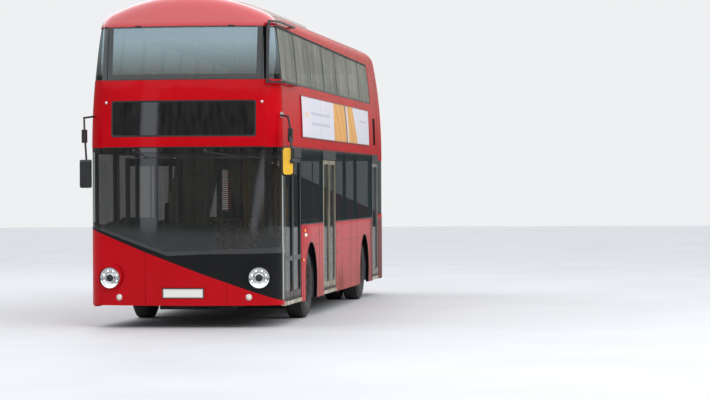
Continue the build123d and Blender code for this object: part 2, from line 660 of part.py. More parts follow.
for i in range(3):
    z = FLOOR_TOP + RISE * (i + 4)
    corners = [(*newel, z - TREAD)]
    for angle in (90 + 30 * i, 120 + 30 * i):
        corners.append((newel[0] + REACH * cos(radians(angle)), newel[1] + REACH * sin(radians(angle)), z - TREAD))
    wedge = extrude(make_face(Polyline(*corners, close=True)), TREAD, dir=(0, 0, 1))
    riser = block(0, REACH, 0, RISER_THICKNESS, z - RISE - TREAD, z)
    rear_flight += (wedge & quadrant) + (Pos(*newel, 0) * Rot(0, 0, 90 + 30 * i) * riser & quadrant)
rear_flight += straight_flight(newel[1], -GOING, 7, 3) + top_riser(REAR_HEAD, -GOING)
rear_flight &= form(WALL + STAIR_CLEARANCE)

# The upper floor is open over both stairs
OPENING_X = (STAIR_X[0] - STAIR_CLEARANCE, STAIR_X[1] + STRINGER + STAIR_CLEARANCE / 2)
upper_floor = inner_form & whole(CEILING, UPPER_FLOOR_TOP)
upper_floor -= block(*OPENING_X, FRONT_FOOT, front_head, 0, TOP)
upper_floor -= block(*OPENING_X, REAR_HEAD, REAR, 0, TOP)
upper_floor -= block(OPENING_X[0], newel[0] + 3 * REAR_GOING, newel[1] - NEWEL_RADIUS - 10, REAR, 0, TOP)

# Panels round the openings on the upper deck
GUARD_HEIGHT = 900
GUARD = 20


def guard(x0, x1, y0, y1):
    return block(x0, x1, y0, y1, UPPER_FLOOR_TOP, UPPER_FLOOR_TOP + GUARD_HEIGHT)


guard_x = OPENING_X[1] + 5
guard_wall = -(HALF - TUMBLEHOME - WALL)
front_guard = guard(guard_x, guard_x + GUARD, FRONT_FOOT - GUARD, front_head - 200)
front_guard += guard(guard_wall, guard_x + GUARD, FRONT_FOOT - 5 - GUARD, FRONT_FOOT - 5)
rear_guard_x = newel[0] + 3 * REAR_GOING + 5
rear_guard_y = newel[1] - NEWEL_RADIUS - 15 - GUARD
rear_guard = guard(guard_x, guard_x + GUARD, REAR_HEAD + 200, rear_guard_y + GUARD)
rear_guard += guard(guard_x, rear_guard_x + GUARD, rear_guard_y, rear_guard_y + GUARD)
rear_guard += guard(rear_guard_x, rear_guard_x + GUARD, rear_guard_y, newel[1] + 300)
save("upper_floor", upper_floor)
save("staircases", front_flight, rear_flight, front_guard, rear_guard)

# Chassis under the floor, with a pad for a jack under each rail
RAIL_X = 440
RAIL_WIDTH = 90
RAIL_BOTTOM = 200
RAIL_START = FRONT + 900
RAIL_END = REAR_AXLE + ARCH_RADIUS + 300
CROSS_PITCH = 1300
CROSS_HALF = 40
PAD = (120, 90, 12)
PAD_AFTER_AXLE = 1200
PAD_BEFORE_AXLE = 1300
rails = None
for side in (1, -1):
    rail = block(*span(side, RAIL_X - RAIL_WIDTH / 2, RAIL_X + RAIL_WIDTH / 2), RAIL_START, RAIL_END,
                 RAIL_BOTTOM, FLOOR_BOTTOM)
    rails = rail if rails is None else rails + rail
    for y in (FRONT_AXLE + PAD_AFTER_AXLE, REAR_AXLE - PAD_BEFORE_AXLE):
        rails += Pos(side * RAIL_X, y, RAIL_BOTTOM - PAD[2] / 2) * Box(PAD[1], PAD[0], PAD[2])
crosses = int((RAIL_END - RAIL_START) / CROSS_PITCH) + 1
for i in range(crosses):
    y = RAIL_START + CROSS_HALF + i * (RAIL_END - RAIL_START - 2 * CROSS_HALF) / (crosses - 1)
    rails += block(-RAIL_X, RAIL_X, y - CROSS_HALF, y + CROSS_HALF, RAIL_BOTTOM, FLOOR_BOTTOM)
save("chassis_frame", rails)

# The heavy closed-in masses: the engine under the rear stair, the battery under the front one
ENGINE = (1000, 830)
BATTERY = (500, 1000, 640)
BATTERY_AFTER_FOOT = 1120
BATTERY_FROM_WALL = 10
engine_start = REAR_AXLE + ARCH_RADIUS + BOX_WALL + 80
save("engine_block", block(*STAIR_X, engine_start, engine_start + ENGINE[0], FLOOR_TOP, FLOOR_TOP + ENGINE[1]))
battery_start = FRONT_FOOT + BATTERY_AFTER_FOOT
battery_x = STAIR_X[0] + BATTERY_FROM_WALL
save("battery_box", block(battery_x, battery_x + BATTERY[0], battery_start, battery_start + BATTERY[1],
                          FLOOR_TOP, FLOOR_TOP + BATTERY[2]))

# Axles, knuckles and wheels
BEAM_BOTTOM = 125
BEAM_HALF = 45
RISER = (150, 70)
RISER_HALF = 35
BOSS_RADIUS = 48
BOSS = (AXLE_HEIGHT - 70, AXLE_HEIGHT + 70)
EAR_GAP = 5
EAR = 35
EAR_RADIUS = BOSS_RADIUS - 2
STEERING_ARM = 220
HUB_RADIUS = 95
HUB_BACK = -40
RIM_HALF = 115
DISC = 14
BARREL = 14
DISC_OUT = 66
DISC_RADIUS = 205
CAP = (60, 85, 112)
LONG_BORE = 400

beam = block(-KINGPIN_X + RISER[1], KINGPIN_X - RISER[1], FRONT_AXLE - BEAM_HALF, FRONT_AXLE + BEAM_HALF,
             BEAM_BOTTOM, RAIL_BOTTOM)
for side in (1, -1):
    beam += block(*span(side, KINGPIN_X - RISER[0], KINGPIN_X - RISER[1]), FRONT_AXLE - RISER_HALF,
                  FRONT_AXLE + RISER_HALF, BEAM_BOTTOM, BOSS[1])
    beam += block(*span(side, KINGPIN_X - RISER[1] - 5, KINGPIN_X), FRONT_AXLE - RISER_HALF,
                  FRONT_AXLE + RISER_HALF, BOSS[0], BOSS[1])
    beam += upright(side * KINGPIN_X, FRONT_AXLE, BOSS[0], BOSS[1], BOSS_RADIUS)
for side in (1, -1):
    beam -= upright(side * KINGPIN_X, FRONT_AXLE, 0, LONG_BORE * 2, KINGPIN_RADIUS + PIN_CLEARANCE)
save("front_axle", beam)

# The rear axle is a dropped beam under the floor with a drive case at each end
PORTAL_HALF = 90
CASE_RADIUS = 190
portal = block(-(REAR_BOX_X + 100), REAR_BOX_X + 100, REAR_AXLE - PORTAL_HALF, REAR_AXLE + PORTAL_HALF,
               BEAM_BOTTOM, RAIL_BOTTOM)
for side in (1, -1):
    portal += block(*span(side, REAR_BOX_X + 35, REAR_BOX_X + 110), REAR_AXLE - PORTAL_HALF,
                    REAR_AXLE + PORTAL_HALF, BEAM_BOTTOM, AXLE_HEIGHT + 120)
    case_end = REAR_BOX_X + 210
    portal += cylinder_x(side * (REAR_BOX_X + 35), side * case_end, REAR_AXLE, AXLE_HEIGHT, CASE_RADIUS)
    portal += cylinder_x(side * (case_end - 10), side * (WHEEL_CENTRE + 20), REAR_AXLE, AXLE_HEIGHT,
                         REAR_SPINDLE_RADIUS)
save("rear_axle", portal)


def tyre(x, y):
    """One tyre with rounded shoulders, seated on the rim at its bead."""
    bead = RIM_RADIUS + SEAT_GAP
    half = TYRE_WIDTH / 2
    wall_middle = (bead + TYRE_RADIUS) / 2
    shoulder = [(half - 22, TYRE_RADIUS - 25), (half - 32, TYRE_RADIUS - 9), (half - 50, TYRE_RADIUS)]
    other = [(-w, r) for w, r in shoulder]
    with BuildSketch(Plane.XY) as section:
        with BuildLine():
            Line((-RIM_HALF, bead), (RIM_HALF, bead))
            ThreePointArc((RIM_HALF, bead), (half, wall_middle), shoulder[0])
            ThreePointArc(*shoulder)
            Line(shoulder[2], other[2])
            ThreePointArc(*reversed(other))
            ThreePointArc(other[0], (-half, wall_middle), (-RIM_HALF, bead))
        make_face()
    return Pos(x, y, AXLE_HEIGHT) * revolve(section.sketch, Axis.X, 360)


def turned(points, side, x, y):
    """A profile of (outward, radius) points turned about a wheel's axle."""
    line = Polyline(*[(side * w, r, 0) for w, r in points], close=True)
    return Pos(x, y, AXLE_HEIGHT) * revolve(make_face(line), Axis.X, 360)


def ring(side, y, circle, start, end, radius, count, phase):
    """Small round bars set on a circle about the axle, from one place across the bus to another."""
    bars = []
    for i in range(count):
        a = radians(360 * (i + phase) / count)
        bars.append(cylinder_x(start, end, y + circle / 2 * cos(a), AXLE_HEIGHT + circle / 2 * sin(a), radius))
    return bars


def toed(shape, side):
    """A front wheel's piece, turned about its kingpin so that both wheels toe in."""
    kingpin = Pos(side * KINGPIN_X, FRONT_AXLE, 0)
    return kingpin * Rot(0, 0, -side * TOE_IN) * kingpin.inverse() * shape


for label, side in (("left", 1), ("right", -1)):
    x = side * WHEEL_CENTRE
    k = side * KINGPIN_X
    ears = (BOSS[0] - EAR_GAP - EAR, BOSS[1] + EAR_GAP)
    knuckle = upright(k, FRONT_AXLE, ears[0], ears[1] + EAR, KINGPIN_RADIUS)
    for z0 in ears:
        knuckle += upright(k, FRONT_AXLE, z0, z0 + EAR, EAR_RADIUS)
        knuckle += block(*span(side, KINGPIN_X, KINGPIN_X + 80), FRONT_AXLE - EAR_RADIUS,
                         FRONT_AXLE + EAR_RADIUS, z0, z0 + EAR)
    knuckle += block(*span(side, KINGPIN_X + BOSS_RADIUS + EAR_GAP, KINGPIN_X + 80), FRONT_AXLE - EAR_RADIUS,
                     FRONT_AXLE + EAR_RADIUS, ears[0], ears[1] + EAR)
    knuckle += cylinder_x(side * (KINGPIN_X + 70), side * (WHEEL_CENTRE + 75), FRONT_AXLE, AXLE_HEIGHT,
                          SPINDLE_RADIUS)
    knuckle += block(k - 18, k + 18, FRONT_AXLE, FRONT_AXLE + STEERING_ARM, ears[0] - 29, ears[0] + 1)
    save(f"{label}_knuckle", toed(knuckle, side))
    # The two sides' studs are half a pitch apart round the axle
    phase = 0 if side > 0 else 0.5
    bore = SPINDLE_RADIUS + PIN_CLEARANCE
    inside = RIM_RADIUS - BARREL
    rim = turned([(HUB_BACK, bore), (100, bore), (100, CAP[0]), (95, HUB_RADIUS), (DISC_OUT, HUB_RADIUS),
                  (DISC_OUT, DISC_RADIUS), (95, inside), (RIM_HALF, inside), (RIM_HALF, RIM_RADIUS),
                  (-RIM_HALF, RIM_RADIUS), (-RIM_HALF, inside), (80, inside), (DISC_OUT - DISC, DISC_RADIUS),
                  (DISC_OUT - DISC, HUB_RADIUS), (HUB_BACK, HUB_RADIUS)], side, x, FRONT_AXLE)
    rim += cylinder_x(x + side * CAP[1], x + side * CAP[2], FRONT_AXLE, AXLE_HEIGHT, CAP[0])
    for hole in ring(side, FRONT_AXLE, DISC_RADIUS + inside, x, x + side * RIM_HALF, HAND_HOLE_RADIUS,
                     HAND_HOLES, phase + 0.5):
        rim -= hole
    for stud in ring(side, FRONT_AXLE, STUD_CIRCLE, x + side * (DISC_OUT - 6), x + side * (DISC_OUT + 26),
                     STUD_RADIUS, STUD_COUNT, phase):
        rim += stud
    save(f"front_{label}_rim", toed(rim, side))
    save(f"front_{label}_tyre", toed(tyre(x, FRONT_AXLE), side))
    # The twin rim is deep dished, with its disc between the two tyres
    rear_bore = REAR_SPINDLE_RADIUS + PIN_CLEARANCE
    mid = -TWIN_SPACING / 2
    far = -TWIN_SPACING - RIM_HALF
    rear_rim = turned([(-250, rear_bore), (45, rear_bore), (45, 85), (30, 110), (mid + 16, 110),
                       (mid + 16, DISC_RADIUS), (mid + 40, inside), (RIM_HALF, inside), (RIM_HALF, RIM_RADIUS),
                       (far, RIM_RADIUS), (far, inside), (mid - 40, inside), (mid - 16, DISC_RADIUS),
                       (mid - 16, 110), (-250, 110)], side, x, REAR_AXLE)
    rear_rim += cylinder_x(x + side * 25, x + side * 60, REAR_AXLE, AXLE_HEIGHT, 80)
    for hole in ring(side, REAR_AXLE, DISC_RADIUS + inside, x + side * (mid - 60), x + side * (mid + 60),
                     HAND_HOLE_RADIUS, HAND_HOLES, phase + 0.5):
        rear_rim -= hole
    for stud in ring(side, REAR_AXLE, STUD_CIRCLE, x + side * (mid + 10), x + side * (mid + 50), STUD_RADIUS,
                     STUD_COUNT, phase):
        rear_rim += stud
    save(f"rear_{label}_rim", rear_rim)
    save(f"rear_{label}_tyres", tyre(x, REAR_AXLE), tyre(x - side * TWIN_SPACING, REAR_AXLE))

# Doors
PANE_CORNER = 35


def leaf_window(y0, y1, z0, z1, x0, x1):
    """A pane or the hole for it, with rounded corners."""
    plane = Plane(origin=(x0, (y0 + y1) / 2, (z0 + z1) / 2), x_dir=(0, 1, 0), z_dir=(1, 0, 0))
    return extrude(plane * RectangleRounded(y1 - y0, z1 - z0, PANE_CORNER), x1 - x0)


def leaf(hinge, free, rail):
    """A leaf's frame and panes, with its round edge about the pivot at y = hinge."""
    lo, hi = sorted((hinge, free))
    frame = block(PIVOT_X - LEAF_THICKNESS / 2, LEAF_OUT, lo, hi, LEAF_BOTTOM, LEAF_TOP)
    frame += upright(PIVOT_X, hinge, LEAF_BOTTOM, LEAF_TOP, LEAF_THICKNESS / 2)
    low, high = LEAF_BOTTOM + LEAF_KICK, LEAF_TOP - LEAF_FRAME
    lights = [(low, high)]
    if rail:
        lights = [(low, LEAF_RAIL_Z - LEAF_RAIL / 2), (LEAF_RAIL_Z + LEAF_RAIL / 2, high)]
    panes = []
    for z0, z1 in lights:
        light = (lo + LEAF_FRAME, hi - LEAF_FRAME, z0, z1)
        frame -= leaf_window(*light, PIVOT_X - LEAF_THICKNESS, LEAF_OUT + LEAF_THICKNESS)
        panes.append(leaf_window(*light, PIVOT_X - GLASS / 2, PIVOT_X + GLASS / 2))
    return frame + pivot_pin(hinge, HINGE_PIN_RADIUS, HINGE_PIN_DEPTH), panes


for label, (y0, y1), rail in (("front_door", FRONT_DOOR, True), ("middle_door", MIDDLE_DOOR, False)):
    centre = (y0 + y1) / 2
    for part_name, hinge, free in (("front", y0 + PIVOT_INSET, centre - DOOR_GAP / 2),
                                   ("rear", y1 - PIVOT_INSET, centre + DOOR_GAP / 2)):
        frame, panes = leaf(hinge, free, rail)
        save(f"{label}_{part_name}_leaf", frame)
        save(f"{label}_{part_name}_glass", *panes)
frame, panes = leaf(REAR_DOOR[1] - PIVOT_INSET, REAR_DOOR[0] + DOOR_GAP, False)
save("rear_door_leaf", frame)
save("rear_door_glass", *panes)
steps = []
for y0, y1 in DOORS:
    step = block(HALF - WALL, HALF, y0, y1, FLOOR_TOP - STEP_THICKNESS, FLOOR_TOP)
    for hole in pin_holes:
        step -= hole
    steps.append(step)
save("step_plates", *steps)

# Advert boards, each a flat sheet bent to the wall
# Each board: side, start and end, then its heights over the upper floor
BOARDS = [(1, FRONT + 1972, REAR - 1907, 119, 691), (-1, MIDDLE_DOOR[1] + 987, REAR - 1980, 119, 691)]
BOARD_THICKNESS = 14
boards = []
for side, y0, y1, over0, over1 in BOARDS:
    heights = [UPPER_FLOOR_TOP + over0, UPPER_FLOOR_TOP + (over0 + over1) / 2, UPPER_FLOOR_TOP + over1]
    inner = [(side * (half_width(z) + SEAT_GAP), z) for z in heights]
    outer = [(side * (half_width(z) + BOARD_THICKNESS), z) for z in reversed(heights)]
    with BuildSketch(Plane.XZ.offset(-y0)) as board_face:
        with BuildLine():
            ThreePointArc(*inner)
            Line(inner[2], outer[0])
            ThreePointArc(*outer)
            Line(outer[2], inner[0])
        make_face()
    boards.append(extrude(board_face.sketch, y0 - y1))
save("advert_boards", *boards)

TAIL_LAMPS = (900, 1060, 1220)
TAIL_LAMP_X = 1020
TAIL_LAMP_RADIUS = 55
LAMP_PROUD = 16
tails = []
for side in (1, -1):
    for z in TAIL_LAMPS:
        cup = cylinder_y(REAR - BEYOND, REAR + BEYOND, side * TAIL_LAMP_X, z, TAIL_LAMP_RADIUS)
        cup &= block(-HALF, HALF, 0, REAR + BEYOND, 0, TOP)
        tails.append((form(-LAMP_PROUD) - form(0)) & cup)
save("tail_lamps", *tails)

# Wipers parked along the top of the lower screen
# Each wiper: its pivot's x and z, then its blade's ends and height
WIPERS = [(-638, 2281, -747, -159, 2190), (297, 2274, 425, 1010, 2190)]
BLADE_HALF = 8
ARM_HALF = 9
WIPER_PIVOT_RADIUS = 20
wiper_layer = form(-LAMP_PROUD) - form(GLASS_RECESS - SEAT_GAP)
wipers = []
for px, pz, x0, x1, z in WIPERS:
    end = (x0 + x1) / 2
    flat = prism_y([(px, pz - ARM_HALF), (px, pz + ARM_HALF), (end, z + ARM_HALF), (end, z - ARM_HALF)],
                   FRONT - BEYOND, FRONT_SEAM)
    flat += block(x0, x1, FRONT - BEYOND, FRONT_SEAM, z - BLADE_HALF, z + BLADE_HALF)
    flat += cylinder_y(FRONT - BEYOND, FRONT_SEAM, px, pz, WIPER_PIVOT_RADIUS)
    wipers.append(wiper_layer & flat)
save("wipers", *wipers)

# Branch guard: a bar that stands off the nearside front corner of the upper deck
GUARD_GAP = 44
GUARD_BAR = 26
GUARD_X = 1077
# Each rail: its middle height, and where it ends along the side
GUARD_RAILS = [(UPPER_FLOOR_TOP + 797, FRONT + 1470), (UPPER_FLOOR_TOP + 1587, FRONT + 1710)]
guard_layer = form(-GUARD_GAP - GUARD_BAR) - form(-GUARD_GAP)
bars = block(GUARD_X, GUARD_X + GUARD_BAR, FRONT - BEYOND, FRONT_SEAM + BEYOND,
             GUARD_RAILS[0][0], GUARD_RAILS[1][0])
stubs = []
for z, end in GUARD_RAILS:
    bars += block(GUARD_X, HALF + BEYOND, FRONT - BEYOND, end, z - GUARD_BAR / 2, z + GUARD_BAR / 2)
    stubs.append(block(0, HALF + BEYOND, end - 60, end - 20, z - GUARD_BAR / 2, z + GUARD_BAR / 2))
branch_guard = guard_layer & bars & whole(0, TOP, y1=0)
for stub in stubs:
    branch_guard += (form(-GUARD_GAP - GUARD_BAR / 2) - form(-SEAT_GAP)) & stub
save("branch_guard", branch_guard)

# Mirrors on arms from the front corners
ARM_RADIUS = 13
BALL_RADIUS = 26
MIRROR_CORNER = 24
# Each mirror: side, its box, the ball behind it, then the arm's points down from its root
MIRRORS = [(1, (1274, 1436, 110, 175, 1950, 2325), (1400, 205, 2140),
            [(1190, 330, 2740), (1340, 230, 2715), (1372, 215, 2560), (1400, 205, 2140)]),
           (-1, (1179, 1335, -60, 0, 1808, 2173), (1257, 28, 2100),
            [(1180, 260, 2740), (1310, 120, 2715), (1290, 50, 2560), (1257, 28, 2100)])]
BRACKET = (60, 70, 170)
mirrors = []
for side, (x0, x1, y0, y1, z0, z1), ball, route in MIRRORS:
    case = block(*span(side, x0, x1), FRONT + y0, FRONT + y1, z0, z1)
    case = case.fillet(MIRROR_CORNER, case.edges())
    points = [(side * x, FRONT + y, z) for x, y, z in route]
    arm = None
    for start, end in zip(points[:-1], points[1:]):
        piece = rod(start, end, ARM_RADIUS) + Pos(*end) * Sphere(ARM_RADIUS + 2)
        arm = piece if arm is None else arm + piece
    arm += Pos(points[2][0], points[2][1], points[2][2] - BRACKET[2] / 2) * Box(*BRACKET)
    joint = (side * ball[0], FRONT + ball[1], ball[2])
    arm += Pos(*joint) * Sphere(BALL_RADIUS)
    arm += rod(joint, (joint[0], FRONT + y1 - 10, joint[2]), ARM_RADIUS)
    arm = (arm - form(-SEAT_GAP)).solids().sort_by(SortBy.VOLUME)[-1]
    mirrors.append(case + arm)
save("mirrors", *mirrors)

# Cab: dash, steering column and the screen behind the driver
CAB_X = (-1130, -350)
DASH_DEPTH = (430, 650)
DASH_TOP = 1330
CAB_WALL = 30
CAB_BACK = 1760
WHEEL_PLACE = (-700, 900, 1150)
WHEEL_TILT = 30
WHEEL_RING = 220
COLUMN_RADIUS = 30
COLUMN_LENGTH = 600
HUB_HALF = 10
dash_y = (FRONT + DASH_DEPTH[0], FRONT + DASH_DEPTH[1])
dash = prism_x([(dash_y[0], FLOOR_TOP), (dash_y[1], FLOOR_TOP), (dash_y[1], DASH_TOP - 180),
                (dash_y[1] - 60, DASH_TOP), (dash_y[0], DASH_TOP)], CAB_X[0], 330)
wheel_at = Vector(WHEEL_PLACE[0], FRONT + WHEEL_PLACE[1], WHEEL_PLACE[2])
wheel_axis = Vector(0, sin(radians(WHEEL_TILT)), cos(radians(WHEEL_TILT)))
column_top = wheel_at - wheel_axis * (HUB_HALF + SEAT_GAP)
column = rod(column_top, wheel_at - wheel_axis * COLUMN_LENGTH, COLUMN_RADIUS)
back_y = (FRONT + CAB_BACK, FRONT + CAB_BACK + CAB_WALL)
screen = block(*CAB_X, *back_y, FLOOR_TOP, CEILING - 50)
screen -= block(CAB_X[0] + 60, CAB_X[1] - 60, *back_y, DASH_TOP, CEILING - 150)
screen += block(CAB_X[1] - CAB_WALL, CAB_X[1], dash_y[1] - 1, back_y[1], FLOOR_TOP, DASH_TOP - 180)
save("cab_console", dash + column + screen)
turn = Pos(wheel_at.X, wheel_at.Y, wheel_at.Z) * Rot(-WHEEL_TILT, 0, 0)
wheel = Torus(WHEEL_RING, 16) + Box(2 * WHEEL_RING, 40, 14) + Cylinder(45, 2 * HUB_HALF)
wheel += Pos(0, -WHEEL_RING / 2, 0) * Box(36, WHEEL_RING, 14)
save("steering_wheel", turn * wheel)


def bench(x0, x1, y, floor_z):
    """A bench, facing forward, on one pedestal."""
    cushion = block(x0, x1, y, y + SEAT_DEPTH, floor_z + SEAT_TOP - CUSHION, floor_z + SEAT_TOP)
    back = block(x0, x1, y + SEAT_DEPTH, y + SEAT_DEPTH + CUSHION, floor_z + SEAT_TOP - CUSHION,
                 floor_z + BACK_HEIGHT)
    centre = (x0 + x1) / 2
    leg = block(centre - 150, centre + 150, y + 150, y + 250, floor_z, floor_z + SEAT_TOP - CUSHION)
    return cushion + back + leg


SEAT_LENGTH = SEAT_DEPTH + CUSHION
UPPER_ROW_START = 1250
LOWER_NEAR_START = 5750
LOWER_OFF_START = 5950
STAIR_MARGIN = 100
seat_out = HALF - WALL - SEAT_FROM_WALL
seat_in = seat_out - SEAT_WIDTH
upper_rows = int((UPPER_GLASS_END + 250 - SEAT_LENGTH - FRONT - UPPER_ROW_START) / SEAT_PITCH) + 1
stair_holes = ((FRONT_FOOT, front_head), (REAR_HEAD, REAR))
seats = []
poles = []
for side in (1, -1):
    for row in range(upper_rows):
        y = FRONT + UPPER_ROW_START + row * SEAT_PITCH
        over_stair = any(a - STAIR_MARGIN < y + SEAT_LENGTH and y < b + STAIR_MARGIN for a, b in stair_holes)
        if side > 0 or not over_stair:
            seats.append(bench(*span(side, seat_in, seat_out), y, UPPER_FLOOR_TOP))
    start = FRONT + (LOWER_NEAR_START if side > 0 else LOWER_OFF_START)
    lower_rows = int((REAR_AXLE - ARCH_RADIUS - BOX_WALL - start - SEAT_LENGTH) / SEAT_PITCH) + 1
    for row in range(lower_rows):
        seats.append(bench(*span(side, seat_in, seat_out), start + row * SEAT_PITCH, FLOOR_TOP))
save("seats", *seats)
save("driver_seat", bench(-900, -450, FRONT + 1150, FLOOR_TOP))

# Poles from floor to ceiling, as (x, from the front); the rear pair stands before the rear seam
POLE_RADIUS = 17
LOWER_POLES = [(450, 2130), (450, 3550), (450, 4700), (450, 5600), (270, 6385), (-270, 6585)]
UPPER_POLES = [(270, 2645), (270, 4925), (270, 7205), (-270, 2645), (-270, 7205)]
REAR_POLES = [(450, 1050), (-300, 1050)]
for x, d in LOWER_POLES:
    poles.append(upright(x, FRONT + d, FLOOR_TOP, CEILING, POLE_RADIUS))
for x, before in REAR_POLES:
    poles.append(upright(x, REAR_SEAM - before, FLOOR_TOP, CEILING, POLE_RADIUS))
for x, d in UPPER_POLES:
    reach = abs(x) + POLE_RADIUS
    roof_z = ROOF_TOP - CROWN_RADIUS + sqrt((CROWN_RADIUS - WALL) ** 2 - reach**2)
    poles.append(upright(x, FRONT + d, UPPER_FLOOR_TOP, roof_z - SEAT_GAP, POLE_RADIUS))
save("handrails", *poles)
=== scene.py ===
import bpy
import bmesh
import json
from functools import reduce
from math import cos, sin, radians, pi, sqrt
from mathutils import Matrix, Vector
from mathutils.bvhtree import BVHTree


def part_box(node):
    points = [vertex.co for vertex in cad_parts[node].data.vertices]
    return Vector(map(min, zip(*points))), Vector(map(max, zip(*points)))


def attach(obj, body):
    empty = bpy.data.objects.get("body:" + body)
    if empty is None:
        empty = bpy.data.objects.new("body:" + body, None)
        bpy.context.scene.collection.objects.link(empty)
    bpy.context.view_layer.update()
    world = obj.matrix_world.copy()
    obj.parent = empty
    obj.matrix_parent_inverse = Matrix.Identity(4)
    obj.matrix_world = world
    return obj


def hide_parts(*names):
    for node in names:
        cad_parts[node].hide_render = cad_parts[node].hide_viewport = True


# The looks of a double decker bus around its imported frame. Metres, the frame's own axes:
# the doors are on the nearside at +X, the front faces -Y and Z is up from the ground.

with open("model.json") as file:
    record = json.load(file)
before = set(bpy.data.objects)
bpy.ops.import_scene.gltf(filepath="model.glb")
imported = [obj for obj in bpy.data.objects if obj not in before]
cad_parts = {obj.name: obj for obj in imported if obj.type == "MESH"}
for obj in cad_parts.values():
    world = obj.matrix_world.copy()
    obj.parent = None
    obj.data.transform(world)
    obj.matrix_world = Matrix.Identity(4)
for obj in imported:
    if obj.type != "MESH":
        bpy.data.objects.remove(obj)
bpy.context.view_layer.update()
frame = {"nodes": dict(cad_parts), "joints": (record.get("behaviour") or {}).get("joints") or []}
scene = bpy.context.scene
NODES = frame["nodes"]
JOINTS = {joint["name"]: Vector(joint["pos_m"]) for joint in frame["joints"]}

# Places taken from the frame
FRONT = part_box("front_band")[0].y
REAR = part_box("rear_panel")[1].y
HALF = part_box("step_plates")[1].x
FLOOR_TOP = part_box("lower_floor")[1].z
UPPER_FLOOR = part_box("upper_floor")[1].z
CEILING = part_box("upper_floor")[0].z
LOWER_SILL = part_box("lower_side_glass")[0].z
LOWER_GLASS_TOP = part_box("lower_side_glass")[1].z
UPPER_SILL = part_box("upper_side_glass")[0].z
UPPER_GLASS_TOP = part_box("upper_side_glass")[1].z
SKIRT_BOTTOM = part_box("nearside_skirt")[0].z
# Where the front's and the rear's own panels meet the sides
SPLIT_DEPTH = 0.44
FRONT_SPLIT = FRONT + SPLIT_DEPTH
REAR_SPLIT = REAR - 0.62
FRONT_DOOR = (FRONT_SPLIT, FRONT + 1.894)
MIDDLE_DOOR = (FRONT + 4.033, FRONT + 5.363)
REAR_DOOR = (REAR - 1.423, REAR_SPLIT)


# Small helpers for nodes


def srgb(r, g, b):
    """A colour written as 0 to 255, as the renderer's own linear values."""
    def channel(value):
        value /= 255
        return value / 12.92 if value <= 0.04045 else ((value + 0.055) / 1.055) ** 2.4
    return (channel(r), channel(g), channel(b), 1)


class Tree:
    """A node tree, with short calls that add and join its nodes."""

    def __init__(self, tree, place):
        self.tree = tree
        self.place = self.add("ShaderNodeTexCoord").outputs[place]

    def add(self, kind, **values):
        node = self.tree.nodes.new(kind)
        for key, value in values.items():
            setattr(node, key, value)
        return node

    def link(self, source, target):
        self.tree.links.new(source, target)

    def put(self, target, value):
        """A socket takes a number or colour, or the output that feeds it."""
        if isinstance(value, bpy.types.NodeSocket):
            self.link(value, target)
        else:
            target.default_value = value

    def feed(self, node, **values):
        """Values of a node's own sockets, with _ for a space."""
        for key, value in values.items():
            self.put(node.inputs[key.replace("_", " ")], value)
        return node

    def scaled(self, size):
        node = self.feed(self.add("ShaderNodeMapping"), Vector=self.place, Scale=size)
        return node.outputs["Vector"]

    def noise(self, scale, detail=3.0, roughness=0.55, place=None):
        node = self.feed(self.add("ShaderNodeTexNoise"), Vector=place or self.place, Scale=scale,
                         Detail=detail, Roughness=roughness)
        return node.outputs["Fac"]

    def cells(self, scale, output="Distance"):
        return self.feed(self.add("ShaderNodeTexVoronoi"), Vector=self.place, Scale=scale).outputs[output]

    def math(self, operation, a, b=0.0):
        node = self.add("ShaderNodeMath", operation=operation)
        self.put(node.inputs[0], a)
        self.put(node.inputs[1], b)
        return node.outputs[0]

    def times(self, a, b):
        return self.math("MULTIPLY", a, b)

    def plus(self, a, b):
        return self.math("ADD", a, b)

    def minus(self, a, b):
        return self.math("SUBTRACT", a, b)

    def greater(self, a, b):
        return self.math("MAXIMUM", a, b)

    def sine(self, value):
        return self.math("SINE", value)

    def absolute(self, value):
        return self.math("ABSOLUTE", value)

    def remap(self, value, low, high, to_low=0.0, to_high=1.0):
        node = self.feed(self.add("ShaderNodeMapRange"), Value=value, From_Min=low, From_Max=high,
                         To_Min=to_low, To_Max=to_high)
        return node.outputs["Result"]

    def fall(self, value, low, high):
        """One up to low, falling to nothing at high."""
        return self.remap(value, low, high, 1.0, 0.0)

    def axes(self):
        node = self.add("ShaderNodeSeparateXYZ")
        self.link(self.place, node.inputs[0])
        return node.outputs

    def joined(self, x, y, z):
        node = self.add("ShaderNodeCombineXYZ")
        for socket, value in zip(node.inputs, (x, y, z)):
            self.put(socket, value)
        return node.outputs[0]

    def mix(self, factor, a, b):
        node = self.add("ShaderNodeMix", data_type="RGBA")
        self.put(node.inputs["Factor"], factor)
        self.put(node.inputs[6], a)
        self.put(node.inputs[7], b)
        return node.outputs[2]

    def blend(self, value, low, high, a, b):
        """From colour a at low to colour b at high."""
        return self.mix(self.remap(value, low, high), a, b)

    def layers(self, base, *coats):
        """Colours laid over a base, each given as its mask, its strength and itself."""
        for mask, strength, colour in coats:
            base = self.mix(self.times(mask, strength), base, colour)
        return base

    def inside(self, value, low, high, soft=0.002):
        """One between low and high, falling to nothing over soft."""
        up = self.remap(value, low - soft, low + soft)
        return self.times(up, self.fall(value, high - soft, high + soft))

    def both(self, *masks):
        return reduce(self.times, masks)

    def either(self, *masks):
        return reduce(self.greater, masks)


class Shader(Tree):
    """One material on its principled surface."""

    def __init__(self, name):
        self.material = bpy.data.materials.new(name)
        self.material.use_nodes = True
        super().__init__(self.material.node_tree, "Object")
        self.surface = self.tree.nodes["Principled BSDF"]

    def set(self, **values):
        self.feed(self.surface, **values)

    def bump(self, height, strength, distance=0.001):
        node = self.feed(self.add("ShaderNodeBump"), Strength=strength, Distance=distance, Height=height)
        self.link(node.outputs["Normal"], self.surface.inputs["Normal"])


